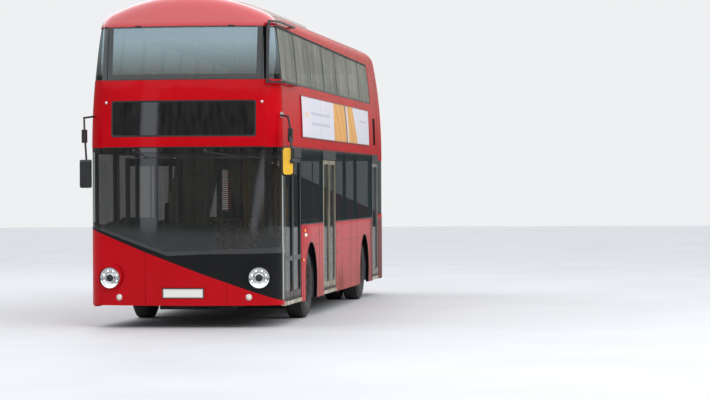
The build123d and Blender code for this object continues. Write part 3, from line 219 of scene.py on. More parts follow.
def assign(material, *nodes):
    """Gives carried-over CAD nodes their finish."""
    for name in nodes:
        mesh = NODES[name].data
        mesh.materials.clear()
        mesh.materials.append(material)


# Finishes

RED = srgb(186, 2, 18)
RED_DEEP = srgb(172, 1, 14)
# Pale pinks for the sides' film: dust, with a painted sheen of the sky
DUST_SHEEN_LOW = srgb(160, 122, 118)
DUST_SHEEN_HIGH = srgb(188, 146, 148)
SOOT = srgb(44, 38, 36)


def red_paint():
    """Gloss coach paint: clean on the front, dusty and streaked low on the sides, where a pale pink film
    stands for dust and for a painted sheen of the sky.
    """
    s = Shader("red_paint")
    x, y, z = s.axes()
    side = s.remap(s.absolute(x), HALF - 0.05, HALF - 0.005)
    behind = s.remap(y, FRONT + 2.35, FRONT + 2.9)
    below = s.fall(z, LOWER_SILL - 0.06, LOWER_SILL + 0.02)
    low = s.remap(z, 0.4, 1.3, 0.86, 0.6)
    streaks = s.noise(1.0, 5, 0.6, s.scaled((3, 7, 0.9)))
    cloud = s.noise(1.3, 5)
    grain = s.remap(s.plus(streaks, cloud), 0.7, 1.3, 0.78, 1.0)
    dust = s.both(side, behind, below, low, grain)
    splash = s.both(s.fall(z, 0.26, 0.62), s.remap(cloud, 0.35, 0.7), behind)
    flank = s.both(side, s.remap(y, FRONT + 0.3, FRONT + 0.6))
    crown = s.both(s.remap(z, 3.84, 3.95), s.fall(y, FRONT + 1.1, FRONT + 1.5))
    outward = s.add("ShaderNodeSeparateXYZ")
    s.link(s.add("ShaderNodeTexCoord").outputs["Normal"], outward.inputs[0])
    inward = s.fall(s.times(x, outward.outputs[0]), -0.9, -0.5)
    rear_soot = s.both(s.remap(y, REAR - 0.3, REAR - 0.05), s.remap(z, 0.3, 1.6, 0.7, 0.1),
                       s.remap(cloud, 0.3, 0.75))
    base = s.blend(s.noise(0.9), 0.3, 0.7, RED, RED_DEEP)
    # A pale pink film over the sides, lighter upwards: partly dust, partly a painted sheen of the sky
    film = s.blend(z, 0.45, 1.25, DUST_SHEEN_LOW, DUST_SHEEN_HIGH)
    rust = s.both(side, s.inside(y, FRONT + 5.55, FRONT + 6.2, 0.12), s.fall(z, 0.4, 0.66))
    tail = s.both(side, s.remap(y, REAR - 1.9, REAR - 1.5), below)
    inner = s.either(inward, s.both(s.fall(s.absolute(x), HALF - 0.007, HALF - 0.005), below,
                                    s.inside(y, FRONT + 0.5, REAR - 0.7, 0.01)))
    lining = s.blend(z, 1.06, 1.1, srgb(15, 14, 14), srgb(84, 88, 90))
    # Painted shade: the faces behind the louvres high on the nearside are painted near black
    louvre_gap_shade = s.both(s.inside(y, REAR_SPLIT - 0.63, REAR_SPLIT - 0.32), s.remap(x, 0.9, 1.0),
                  s.inside(z, UPPER_FLOOR + 0.14, UPPER_FLOOR + 0.582),
                  s.fall(x, HALF - 0.003, HALF - 0.001))
    colour = s.layers(base, (dust, 0.7, film), (splash, 0.35, srgb(96, 74, 66)),
                      (rust, 0.6, srgb(122, 66, 44)), (tail, 0.75, srgb(84, 60, 55)),
                      (rear_soot, 1, SOOT), (inner, 1, lining), (louvre_gap_shade, 1, srgb(12, 11, 11)))
    clean = s.remap(s.either(dust, splash, inner), 0, 1, 1.0, 0.1)
    coat = s.mix(crown, s.mix(flank, (0.12, 0.12, 0.12, 1), (0.02, 0.02, 0.02, 1)), (1, 1, 1, 1))
    s.set(Base_Color=colour, Roughness=s.remap(s.either(dust, splash, rear_soot, inner), 0, 1, 0.26, 0.6),
          Coat_Weight=s.times(clean, coat), Coat_Roughness=0.05,
          Specular_IOR_Level=s.mix(crown, s.remap(s.either(flank, inner), 0, 1, 0.08, 0.02),
                                   (0.6, 0.6, 0.6, 1)))
    s.bump(s.noise(2.2, 2), 0.2, 0.0012)
    return s.material


def gloss(name, colour, roughness=0.25, coat=0.6, level=0.5):
    s = Shader(name)
    tone = s.remap(s.noise(3, 4), 0.3, 0.7, 0.85, 1.15)
    s.set(Base_Color=colour, Roughness=s.times(tone, roughness), Coat_Weight=coat, Coat_Roughness=0.05,
          Specular_IOR_Level=level)
    return s.material


def matte(name, colour, second, roughness=0.6, scale=8.0, grain=300.0, depth=0.1):
    s = Shader(name)
    s.set(Base_Color=s.blend(s.noise(scale, 4), 0.35, 0.7, colour, second),
          Roughness=s.remap(s.noise(scale * 3), 0.3, 0.7, roughness - 0.1, roughness + 0.1))
    s.bump(s.noise(grain, 2), depth)
    return s.material


def metal(name, colour, roughness=0.3, scale=40.0):
    s = Shader(name)
    rub = s.noise(scale, 4, 0.6, s.scaled((1, 1, 0.1)))
    s.set(Base_Color=colour, Metallic=0.9, Roughness=s.remap(rub, 0.3, 0.7, roughness * 0.8, roughness * 1.3))
    return s.material


def glow(name, colour, strength):
    s = Shader(name)
    s.set(Base_Color=colour, Roughness=0.2, Emission_Color=colour, Emission_Strength=strength)
    s.bump(s.noise(400, 1), 0.05)
    return s.material


FRIT = srgb(9, 10, 11)


def glass(name, tint, clear, mirror, frit, level=0.5):
    """Tinted bonded glass with its black printed border; frit(shader) gives the border's mask."""
    s = Shader(name)
    border = frit(s)
    colour = tint(s) if callable(tint) else tint
    film = s.remap(s.noise(2.5, 4), 0.3, 0.75, 0.9, 1.15)
    s.set(Base_Color=s.mix(border, colour, FRIT), Metallic=s.times(s.minus(1.0, border), mirror),
          Roughness=s.times(film, 0.035), IOR=1.52, Specular_IOR_Level=level,
          Alpha=s.greater(border, 1 - clear))
    s.bump(s.noise(1.4, 1), 0.1, 0.0015)
    return s.material


def upper_screen_reflection(s):
    """A painted reflection of pale sky in the screen, darker towards its foot."""
    z = s.axes()[2]
    return s.blend(z, 3.28, 3.7, srgb(84, 90, 84), srgb(138, 158, 166))


def upper_side_reflection_and_film(s):
    """Olive streaks that stand upright in the upper panes: partly a dusty film, partly a painted reflection
    of the street's fronts.
    """
    streaks = s.noise(1.0, 4, 0.65, s.scaled((1, 5.5, 0.35)))
    return s.blend(streaks, 0.36, 0.64, srgb(74, 80, 72), srgb(158, 160, 146))


def no_frit(s):
    return s.times(s.noise(1.0), 0.0)


# The lower screen's foot as a bent line of (x, z), its top, and the upper screen's edges and pillars
SCREEN_FOOT = [(-1.66, 1.458), (-1.195, 1.289), (-0.205, 0.929), (0.226, 0.948), (1.66, 0.965)]
SCREEN_TOP = 2.262
UPPER_SCREEN_FOOT, UPPER_SCREEN_TOP = 3.262, 3.868
PILLAR = (0.945, 1.08)
FRIT_WIDTH = 0.045


def line_height(s, x, points):
    """The height of a bent line over x, as the greatest of its straight runs."""
    return s.either(*[s.plus(s.times(s.minus(x, x0), (z1 - z0) / (x1 - x0)), z0)
                      for (x0, z0), (x1, z1) in zip(points[:-1], points[1:])])


def lower_screen_frit(s):
    x, y, z = s.axes()
    foot = s.minus(z, line_height(s, x, SCREEN_FOOT))
    return s.either(s.fall(foot, FRIT_WIDTH, FRIT_WIDTH + 0.004),
                    s.remap(z, SCREEN_TOP, SCREEN_TOP + 0.004), s.remap(y, FRONT + 0.405, FRONT + 0.409))


def upper_screen_frit(s):
    x, _, z = s.axes()
    return s.either(s.fall(z, UPPER_SCREEN_FOOT, UPPER_SCREEN_FOOT + 0.006),
                    s.remap(z, UPPER_SCREEN_TOP, UPPER_SCREEN_TOP + 0.004),
                    s.inside(s.absolute(x), *PILLAR, 0.003))


def side_frit(joints, low, high):
    """A border along the top and foot, and over each place along the bus in joints."""
    def mask(s):
        _, y, z = s.axes()
        bands = [s.fall(z, low + 0.024, low + 0.028), s.remap(z, high - 0.032, high - 0.028)]
        bands += [s.inside(y, joint - 0.034, joint + 0.034) for joint in joints]
        return s.either(*bands)
    return mask


UPPER_GLASS_LENGTH = 9.88
UPPER_GLASS_END = FRONT + UPPER_GLASS_LENGTH
UPPER_BAYS = 7
UPPER_BAY = (UPPER_GLASS_LENGTH - SPLIT_DEPTH) / UPPER_BAYS
UPPER_JOINTS = [FRONT_SPLIT + UPPER_BAY * i for i in range(UPPER_BAYS + 1)]
LOWER_JOINTS = [FRONT + d for d in (SPLIT_DEPTH, 1.6, 3.0, 4.3, 6.5, 7.79, 9.33)] + list(MIDDLE_DOOR)
LOWER_JOINTS += [FRONT_DOOR[1], REAR_DOOR[0], REAR_DOOR[1]]

PAINT = red_paint()
BLACK = gloss("black_panel", srgb(9, 10, 12), 0.4, 0.12, 0.15)
LOWER_SCREEN = glass("lower_screen_glass", srgb(26, 29, 29), 0.5, 0.02, lower_screen_frit, 1.0)
UPPER_SCREEN = glass("upper_screen_glass", upper_screen_reflection, 0.4, 0.3, upper_screen_frit)
LOWER_GLASS = glass("lower_side_glass", srgb(24, 32, 34), 0.5, 0.04,
                    side_frit(LOWER_JOINTS, LOWER_SILL, LOWER_GLASS_TOP), 0.12)
UPPER_GLASS = glass("upper_side_glass", upper_side_reflection_and_film, 0.35, 0.16,
                    side_frit(UPPER_JOINTS, UPPER_SILL, UPPER_GLASS_TOP), 0.3)
PLAIN_GLASS = glass("plain_glass", srgb(20, 25, 26), 0.5, 0.12, no_frit)
SATIN_BLACK = matte("satin_black", srgb(16, 16, 18), srgb(26, 26, 28), 0.4)
RUBBER_BLACK = matte("seal_rubber", srgb(10, 10, 11), srgb(18, 18, 18), 0.55, 20)
WHITE = gloss("white_paint", srgb(192, 184, 180), 0.4, 0.2)
CHASSIS = matte("chassis_paint", srgb(30, 29, 29), srgb(66, 56, 48), 0.7, 3.0)
CAST = matte("axle_metal", srgb(46, 43, 41), srgb(84, 72, 62), 0.7, 6.0)
PLASTIC = matte("cab_plastic", srgb(48, 51, 54), srgb(60, 63, 66), 0.55, 6, 500, 0.15)
PANEL_GREY = matte("stair_panel", srgb(176, 172, 160), srgb(160, 156, 146), 0.45, 5, 400, 0.06)
YELLOW = matte("yellow_moulding", srgb(236, 188, 52), srgb(222, 170, 40), 0.4, 9)
RAIL = metal("handrail", srgb(206, 152, 66), 0.35)
CHROME = metal("bright_metal", srgb(206, 208, 210), 0.16)
STEEL = metal("dull_steel", srgb(126, 124, 120), 0.42)
SILVER = gloss("silver_paint", srgb(176, 178, 178), 0.3, 0.4)
AMBER = glow("amber_lens", srgb(255, 120, 10), 0.35)
LED = glow("white_led", srgb(255, 252, 244), 2.2)
TAIL = glow("tail_lens", srgb(176, 8, 14), 0.15)
PLATE = gloss("plate_white", srgb(226, 226, 220), 0.3, 0.3)


def door_frame_paint():
    """Grey anodised frames, grimy at the foot; the middle pair carries a painted warm highlight, the front
    pair painted shade.
    """
    s = Shader("door_frame")
    _, y, z = s.axes()
    dirt = s.both(s.fall(z, 0.33, 0.95), s.remap(s.noise(9, 4), 0.35, 0.7))
    streak = s.noise(1.0, 4, 0.6, s.scaled((30, 30, 1)))
    grey = s.blend(streak, 0.3, 0.7, srgb(104, 108, 104), srgb(140, 142, 136))
    # Painted shade: the front pair's darker frames
    dark = s.blend(streak, 0.3, 0.7, srgb(22, 24, 27), srgb(48, 52, 56))
    # Painted highlight: the middle pair's warmer, lighter grey
    painted_highlight_gold = s.blend(streak, 0.35, 0.65, srgb(110, 106, 92), srgb(178, 170, 146))
    grey = s.mix(s.inside(y, MIDDLE_DOOR[0] - 0.1, MIDDLE_DOOR[1] + 0.1, 0.01), grey, painted_highlight_gold)
    # Painted shade laid on the front pair, up to the front door's end
    front = s.fall(y, FRONT + 2.0, FRONT + 2.2)
    colour = s.mix(s.times(dirt, 0.75), s.mix(front, grey, dark), srgb(104, 88, 70))
    s.set(Base_Color=colour, Metallic=0.35, Roughness=s.remap(dirt, 0, 1, 0.32, 0.7))
    s.bump(s.noise(160, 2), 0.06)
    return s.material


def floor_vinyl():
    s = Shader("floor_cover")
    speck = s.remap(s.cells(160), 0.08, 0.3)
    base = s.blend(s.noise(2.5, 4), 0.35, 0.7, srgb(54, 56, 62), srgb(66, 68, 74))
    s.set(Base_Color=s.mix(speck, srgb(150, 150, 158), base),
          Roughness=s.remap(s.noise(6), 0.3, 0.7, 0.42, 0.6))
    s.bump(speck, 0.08)
    return s.material


RIB_PITCH = 0.008


def step_metal():
    """A ribbed aluminium tread plate with a worn, muddy edge."""
    s = Shader("step_metal")
    ribs = s.sine(s.times(s.axes()[0], 2 * pi / RIB_PITCH))
    dirt = s.remap(s.noise(6, 5), 0.4, 0.7)
    s.set(Base_Color=s.mix(dirt, srgb(196, 190, 172), srgb(138, 122, 96)), Metallic=0.5,
          Roughness=s.remap(dirt, 0, 1, 0.32, 0.7))
    s.bump(ribs, 0.4, 0.0015)
    return s.material


DOT_PITCH = 0.014


def display_black():
    """A blank sign behind dark glass: a faint matrix of unlit dots."""
    s = Shader("destination_display")
    x, _, z = s.axes()
    turns = 2 * pi / DOT_PITCH
    dots = s.times(s.sine(s.times(x, turns)), s.sine(s.times(z, turns)))
    lit = s.remap(dots, 0.55, 0.95)
    s.set(Base_Color=s.mix(lit, srgb(13, 14, 16), srgb(24, 26, 27)), Roughness=0.07, Coat_Weight=0.7,
          Coat_Roughness=0.03)
    s.bump(s.noise(2), 0.1)
    return s.material


BOARD_FOOT, BOARD_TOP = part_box("advert_boards")[0].z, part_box("advert_boards")[1].z


def printed_board():
    """A made-up print: pale lilac ground, one amber block with slanted edges, two ribbons, soft bars."""
    s = Shader("printed_board")
    x, y, z = s.axes()
    d = s.minus(y, FRONT)
    rise = s.math("DIVIDE", s.minus(z, BOARD_FOOT), BOARD_TOP - BOARD_FOOT)
    ground = s.blend(s.noise(0.7, 3), 0.35, 0.65, srgb(222, 226, 240), srgb(236, 226, 238))
    slant = s.plus(d, s.times(rise, 0.55))
    lean = s.plus(d, s.times(rise, 0.18))
    block = s.both(s.remap(d, 5.14, 5.16), s.fall(slant, 7.85, 7.87))
    folds = s.remap(s.sine(s.times(slant, 13.0)), -0.2, 0.9)
    folded = s.mix(folds, srgb(238, 168, 44), srgb(226, 148, 34))
    bars = s.inside(s.math("FRACT", s.times(rise, 4.0)), 0.32, 0.58, 0.02)
    rows = s.both(bars, s.inside(d, 2.85, 4.7, 0.01), s.inside(rise, 0.3, 0.78, 0.004))
    peach = s.both(s.inside(d, 2.3, 2.65, 0.01), s.inside(rise, 0.5, 0.62, 0.01))
    tail_bar = s.both(s.inside(d, 8.1, 9.0, 0.01), s.inside(rise, 0.62, 0.66, 0.006))
    colour = s.layers(ground, (block, 1, folded), (s.inside(lean, 6.55, 6.68, 0.006), 1, srgb(96, 84, 92)),
                      (s.inside(lean, 6.72, 6.86, 0.006), 1, srgb(232, 228, 232)),
                      (rows, 0.45, srgb(150, 156, 186)), (peach, 0.6, srgb(250, 196, 150)),
                      (tail_bar, 0.5, srgb(130, 132, 170)),
                      (s.inside(d, 3.772, 3.784, 0.001), 1, srgb(120, 122, 134)))
    ends = s.either(s.inside(d, 1.985, 9.31, 0.002), s.inside(x, -2, -1, 0.01))
    edge = s.math("MINIMUM", s.inside(rise, 0.022, 0.978, 0.002), ends)
    colour = s.mix(edge, srgb(120, 40, 52), colour)
    s.set(Base_Color=colour, Roughness=s.remap(s.noise(4), 0.3, 0.7, 0.28, 0.4), Coat_Weight=0.4,
          Coat_Roughness=0.1)
    return s.material


def rim_paint():
    """Dark grey wheel paint with road dust."""
    s = Shader("rim_paint")
    dust = s.remap(s.noise(9, 5), 0.35, 0.7)
    s.set(Base_Color=s.mix(dust, srgb(52, 52, 54), srgb(92, 82, 72)), Metallic=0.25,
          Roughness=s.remap(dust, 0, 1, 0.42, 0.75))
    s.bump(s.noise(60, 3), 0.12)
    return s.material


def tyre_rubber(name, joint):
    """Ribbed tread, sipes across it and rings on the sidewall, about this wheel's own axle."""
    s = Shader(name)
    x, y, z = s.axes()
    centre = JOINTS[joint]
    along = s.minus(y, centre.y)
    up = s.minus(z, centre.z)
    radius = s.math("SQRT", s.plus(s.times(along, along), s.times(up, up)))
    angle = s.math("ARCTAN2", up, along)
    tread = s.remap(radius, centre.z - 0.012, centre.z - 0.006)
    ribs = s.remap(s.sine(s.times(x, 2 * pi / 0.046)), -0.75, -0.55)
    zigzag = s.plus(s.times(angle, 58), s.sine(s.times(x, 130)))
    sipes = s.remap(s.sine(zigzag), -0.92, -0.8)
    rings = s.remap(s.sine(s.times(radius, 2 * pi / 0.03)), 0.75, 0.95)
    wall_height = s.times(s.minus(1.0, tread), rings)
    height = s.plus(s.both(tread, ribs, sipes), s.times(wall_height, 0.25))
    dust = s.remap(s.noise(5, 5), 0.35, 0.7)
    worn = s.mix(dust, srgb(24, 24, 25), srgb(58, 54, 50))
    # The grooves between ribs and sipes are painted near black: painted shade in the tread
    s.set(Base_Color=s.mix(s.both(tread, s.fall(s.times(ribs, sipes), 0, 1)), worn, srgb(8, 8, 8)),
          Roughness=s.remap(dust, 0, 1, 0.62, 0.85))
    s.bump(height, 0.9, 0.006)
    return s.material


def moquette():
    """Woven seat cloth in deep red with a small block pattern."""
    s = Shader("seat_fabric")
    x, _, z = s.axes()
    weave = s.times(s.sine(s.times(x, 2200)), s.sine(s.times(z, 2200)))
    blocks = s.feed(s.add("ShaderNodeSeparateColor"), Color=s.cells(26, "Color")).outputs
    tone = s.blend(blocks[0], 0.3, 0.5, srgb(96, 20, 28), srgb(140, 34, 40))
    tone = s.blend(blocks[1], 0.78, 0.8, tone, srgb(206, 178, 140))
    s.set(Base_Color=tone, Roughness=0.85, Sheen_Weight=0.5, Sheen_Roughness=0.4)
    s.bump(s.plus(weave, s.noise(600, 2)), 0.35, 0.0012)
    return s.material


FABRIC = moquette()
FRAME_PAINT = door_frame_paint()
RIM = rim_paint()
LEAVES = [name for name in NODES if name.endswith("_leaf")]
DOOR_GLASS = [name for name in NODES if "door" in name and name.endswith("_glass")]

assign(PAINT, "front_red_panel", "front_band", "nearside_skirt", "offside_skirt", "nearside_mid_panel",
       "offside_mid_panel", "roof_shell", "rear_panel")
assign(BLACK, "front_black_panel")
assign(display_black(), "destination_display")
assign(LOWER_SCREEN, "lower_windscreen")
assign(UPPER_SCREEN, "upper_windscreen")
assign(LOWER_GLASS, "lower_side_glass")
assign(UPPER_GLASS, "upper_side_glass")
assign(PLAIN_GLASS, "rear_glass", "stair_window_glass", *DOOR_GLASS)
assign(FRAME_PAINT, *LEAVES)
assign(SATIN_BLACK, "window_posts", "steering_wheel", "branch_guard", "wipers", "mirrors")
assign(WHITE, "roof_cowl")
assign(printed_board(), "advert_boards")
assign(floor_vinyl(), "lower_floor", "upper_floor")
assign(matte("wheel_box", srgb(60, 62, 66), srgb(72, 72, 76), 0.55), "wheel_boxes")
assign(CHASSIS, "chassis_frame")
assign(CAST, "front_axle", "rear_axle", "left_knuckle", "right_knuckle", "engine_block", "battery_box")
assign(RIM, "front_left_rim", "front_right_rim", "rear_left_rim", "rear_right_rim")
for corner in ("front_left", "front_right", "rear_left", "rear_right"):
    tyre = f"{corner}_tyre" if "front" in corner else f"{corner}_tyres"
    assign(tyre_rubber(f"{corner}_rubber", f"{corner}_spin"), tyre)
assign(step_metal(), "step_plates")
assign(PLASTIC, "cab_console")
assign(PANEL_GREY, "staircases")
assign(RAIL, "handrails")
assign(CHROME, "front_lamps")
assign(TAIL, "tail_lamps")


# Pieces: helpers


# Nearly the centre line, where a turned shape closes
TIP = 0.0005


class Mesh:
    """Gathers the points and faces of one joined piece."""

    def __init__(self):
        self.points = []
        self.faces = []

    def add(self, points, faces):
        base = len(self.points)
        self.points += [Vector(p) for p in points]
        self.faces += [[base + i for i in face] for face in faces]

    def piece(self, name, material, slot="trim_black", smooth=False, body="body"):
        mesh = bpy.data.meshes.new(name)
        mesh.from_pydata(self.points, [], self.faces)
        tidy = bmesh.new()
        tidy.from_mesh(mesh)
        bmesh.ops.remove_doubles(tidy, verts=tidy.verts, dist=1e-6)
        bmesh.ops.recalc_face_normals(tidy, faces=tidy.faces)
        tidy.to_mesh(mesh)
        tidy.free()
        mesh.materials.append(material)
        if smooth:
            for face in mesh.polygons:
                face.use_smooth = True
        obj = bpy.data.objects.new(name, mesh)
        scene.collection.objects.link(obj)
        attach(obj, body)
        return obj

    def block(self, low, high, bevel=0.002):
        """A box with its edges cut back."""
        shape = bmesh.new()
        bmesh.ops.create_cube(shape, size=1)
        size = [max(b - a, 1e-4) for a, b in zip(low, high)]
        middle = [(a + b) / 2 for a, b in zip(low, high)]
        bmesh.ops.scale(shape, vec=size, verts=shape.verts)
        bmesh.ops.translate(shape, vec=middle, verts=shape.verts)
        cut = min(bevel, 0.45 * min(size))
        bmesh.ops.bevel(shape, geom=shape.edges[:], offset=cut, segments=2, affect="EDGES")
        self.merge(shape)

    def merge(self, shape, matrix=Matrix.Identity(4)):
        shape.verts.index_update()
        faces = [[v.index for v in face.verts] for face in shape.faces]
        self.add([matrix @ v.co for v in shape.verts], faces)
        shape.free()

    def spun(self, profile, matrix, segments=32):
        """A closed profile of (radius, height) points turned about its local Z."""
        points, faces = [], []
        count = len(profile)
        for i in range(segments):
            angle = 2 * pi * i / segments
            points += [matrix @ Vector((r * cos(angle), r * sin(angle), h)) for r, h in profile]
        for i in range(segments):
            for j in range(count - 1):
                a, b = i * count, (i + 1) % segments * count
                faces.append([a + j, b + j, b + j + 1, a + j + 1])
        self.add(points, faces)

    def plate(self, front, back):
        """A closed plate between two outlines of as many points."""
        count = len(front)
        ends = [list(range(count)), list(range(count, 2 * count))[::-1]]
        self.add(front + back, ends + ring_faces(count))

    def tube(self, route, radius, sides=10):
        """A round bar that follows a route and is closed at its ends."""
        route = [Vector(p) for p in route]
        rings = []
        for i, place in enumerate(route):
            before = route[max(i - 1, 0)]
            after = route[min(i + 1, len(route) - 1)]
            way = (after - before).normalized()
            side = way.orthogonal() if abs(way.z) > 0.9 else way.cross(Vector((0, 0, 1)))
            side.normalize()
            up = way.cross(side)
            angles = [2 * pi * k / sides for k in range(sides)]
            rings.append([place + (side * cos(angle) + up * sin(angle)) * radius for angle in angles])
        faces = []
        for i in range(len(rings) - 1):
            for k in range(sides):
                n = (k + 1) % sides
                faces.append([i * sides + k, i * sides + n, (i + 1) * sides + n, (i + 1) * sides + k])
        faces.append(list(range(sides))[::-1])
        faces.append([(len(rings) - 1) * sides + k for k in range(sides)])
        self.add([p for ring in rings for p in ring], faces)


def ring_faces(count):
    """Faces that join one closed outline to the next of as many points."""
    return [[i, (i + 1) % count, (i + 1) % count + count, i + count] for i in range(count)]


def facing(place, normal):
    """The matrix of a place whose local Z points along a normal."""
    turn = Vector(normal).to_track_quat("Z", "Y").to_matrix().to_4x4()
    return Matrix.Translation(place) @ turn


def skin_tree(*names):
    """What on_skin looks at: the outside of the body."""
    skin = Mesh()
    for name in names:
        mesh = NODES[name].data
        skin.add([v.co for v in mesh.vertices], [polygon.vertices for polygon in mesh.polygons])
    return BVHTree.FromPolygons(skin.points, skin.faces)


SKIN = skin_tree("front_red_panel", "front_black_panel", "lower_windscreen", "front_band",
                 "destination_display", "upper_windscreen", "nearside_skirt", "offside_skirt",
                 "nearside_mid_panel", "offside_mid_panel", "roof_shell", "lower_side_glass",
                 "upper_side_glass", "rear_panel", "rear_glass", "window_posts", "stair_window_glass",
                 "roof_cowl")
# Each view: which way u and v run, and the way in
VIEWS = {"front": (Vector((1, 0, 0)), Vector((0, 0, 1)), Vector((0, 1, 0))),
         "rear": (Vector((1, 0, 0)), Vector((0, 0, 1)), Vector((0, -1, 0))),
         "near": (Vector((0, 1, 0)), Vector((0, 0, 1)), Vector((-1, 0, 0))),
         "off": (Vector((0, 1, 0)), Vector((0, 0, 1)), Vector((1, 0, 0))),
         "top": (Vector((1, 0, 0)), Vector((0, 1, 0)), Vector((0, 0, -1)))}
RAY_START = 9.0


def on_skin(view, u, v):
    """The place on the body that a view sees at u, v, and the way out of it."""
    across, up, into = VIEWS[view]
    start = across * u + up * v - into * RAY_START
    place, normal, _, _ = SKIN.ray_cast(start, into)
    if place is None:
        return None, None
    if normal.dot(into) > 0:
        normal = -normal
    return place, normal


def drape(mesh, view, flat, faces, lift, thickness):
    """Lays a flat drawing of (u, v) points on the body as a thin plate."""
    tops, feet = [], []
    for u, v in flat:
        place, normal = on_skin(view, u, v)
        if place is None:
            return
        tops.append(place + normal * (lift + thickness))
        feet.append(place + normal * lift)
    count = len(flat)
    edges = dict.fromkeys((a, b) for face in faces for a, b in zip(face, face[1:] + face[:1]))
    quads = [[a, b, b + count, a + count] for a, b in edges if (b, a) not in edges]
    mesh.add(tops + feet, faces + [[i + count for i in face][::-1] for face in faces] + quads)


STROKE_STEP = 0.12


def stroke(mesh, view, line, width, thickness=0.0015):
    """A narrow strip along a line of (u, v) points."""
    for (u0, v0), (u1, v1) in zip(line[:-1], line[1:]):
        length = sqrt((u1 - u0) ** 2 + (v1 - v0) ** 2)
        count = max(1, int(length / STROKE_STEP))
        across = ((v0 - v1) / length * width / 2, (u1 - u0) / length * width / 2)
        flat = []
        for i in range(count + 1):
            t = i / count
            u, v = u0 + (u1 - u0) * t, v0 + (v1 - v0) * t
            flat += [(u - across[0], v - across[1]), (u + across[0], v + across[1])]
        faces = [[2 * i, 2 * i + 1, 2 * i + 3, 2 * i + 2] for i in range(count)]
        drape(mesh, view, flat, faces, 0, thickness)


CORNER_STEPS = 5


def rounded(u0, u1, v0, v1, corner):
    """The outline of a rectangle with round corners."""
    points = []
    for cu, cv, start in ((u1 - corner, v1 - corner, 0), (u0 + corner, v1 - corner, 90),
                          (u0 + corner, v0 + corner, 180), (u1 - corner, v0 + corner, 270)):
        for i in range(CORNER_STEPS + 1):
            angle = radians(start + 90 * i / CORNER_STEPS)
            points.append((cu + corner * cos(angle), cv + corner * sin(angle)))
    return points


def oval(mesh, view, u, v, half_u, half_v, corner, lift, thickness):
    """A thin plate with round corners, laid on the body."""
    outline = rounded(u - half_u, u + half_u, v - half_v, v + half_v, corner)
    drape(mesh, view, outline, [list(range(len(outline)))], lift, thickness)


def spread(points, step):
    """More points along a closed outline, so that it can follow a curved surface."""
    result = []
    for (u0, v0), (u1, v1) in zip(points, points[1:] + points[:1]):
        count = max(1, int(sqrt((u1 - u0) ** 2 + (v1 - v0) ** 2) / step))
        result += [(u0 + (u1 - u0) * i / count, v0 + (v1 - v0) * i / count) for i in range(count)]
    return result


def frame_ring(mesh, view, outline, width, lift, thickness):
    """A border of even width inside an outline."""
    outline = spread(outline, 0.15)
    cu = sum(p[0] for p in outline) / len(outline)
    cv = sum(p[1] for p in outline) / len(outline)
    half_u = max(abs(p[0] - cu) for p in outline)
    half_v = max(abs(p[1] - cv) for p in outline)
    inner = [(cu + (u - cu) * (1 - width / half_u), cv + (v - cv) * (1 - width / half_v)) for u, v in outline]
    drape(mesh, view, outline + inner, ring_faces(len(outline)), lift, thickness)


def arc(radius, start, end, count):
    angles = [radians(start + (end - start) * i / count) for i in range(count + 1)]
    return [(radius * cos(angle), radius * sin(angle)) for angle in angles]


def islands(node):
    """The box of each separate solid of a node, as its lowest and highest corners."""
    mesh = NODES[node].data
    shape = bmesh.new()
    shape.from_mesh(mesh)
    bmesh.ops.remove_doubles(shape, verts=shape.verts, dist=1e-5)
    seen, boxes = set(), []
    for first in shape.verts:
        if first in seen:
            continue
        stack, points = [first], []
        seen.add(first)
        while stack:
            vert = stack.pop()
            points.append(vert.co.copy())
            for edge in vert.link_edges:
                other = edge.other_vert(vert)
                if other not in seen:
                    seen.add(other)
                    stack.append(other)
        boxes.append((Vector([min(p[i] for p in points) for i in range(3)]),
                      Vector([max(p[i] for p in points) for i in range(3)])))
    shape.free()
    return boxes


# Front of the bus

# The display's opening, across and up
DISPLAY = (-0.945, 0.945, 2.46, 2.928)
LAMP_X, LAMP_Z = 0.975, 0.645
LAMP_TURN = radians(14)
LAMP_DEPTH = 0.101
LED_COUNT = 8
LED_CIRCLE = 0.096
SIDELIGHT = (0.847, 0.395)
MARKER = (1.02, 2.905)
PLATE_SIZE = (-0.26, 0.26, 0.393, 0.504)


def front_trim():
    seals = Mesh()
    frame_ring(seals, "front", rounded(*DISPLAY, 0.03), 0.022, -0.001, 0.006)
    # The gap over the lower glass, and those below and above the upper glass
    for z, width, thickness in ((2.325, 0.014, 0.004), (3.2, 0.012, 0.003), (3.886, 0.03, 0.006)):
        stroke(seals, "front", [(-1.17, z), (1.17, z)], width, thickness)
    seals.piece("front_seals", RUBBER_BLACK)
    lines = Mesh()
    stroke(lines, "front", [(-1.195, 1.289), (-0.205, 0.929), (0.226, 0.944), (1.17, 0.957)], 0.006, 0.002)
    lines.piece("screen_foot_line", BLACK)
    # Pale strips down both front corner posts: painted highlights where the glass bends round the corners
    strips = Mesh()
    stroke(strips, "near", [(FRONT + 0.33, 0.36), (FRONT + 0.33, 2.28)], 0.05, 0.002)
    stroke(strips, "front", [(-1.212, 1.36), (-1.212, 2.27)], 0.04, 0.002)
    strips.piece("corner_post_highlights", gloss("post_highlight_paint", srgb(150, 156, 149), 0.4, 0.15), slot="lamp")


def lamp_place(side, x, z, turn, depth):
    out = Vector((side * sin(turn), -cos(turn), 0))
    return facing(Vector((side * x, FRONT + depth, z)), out)


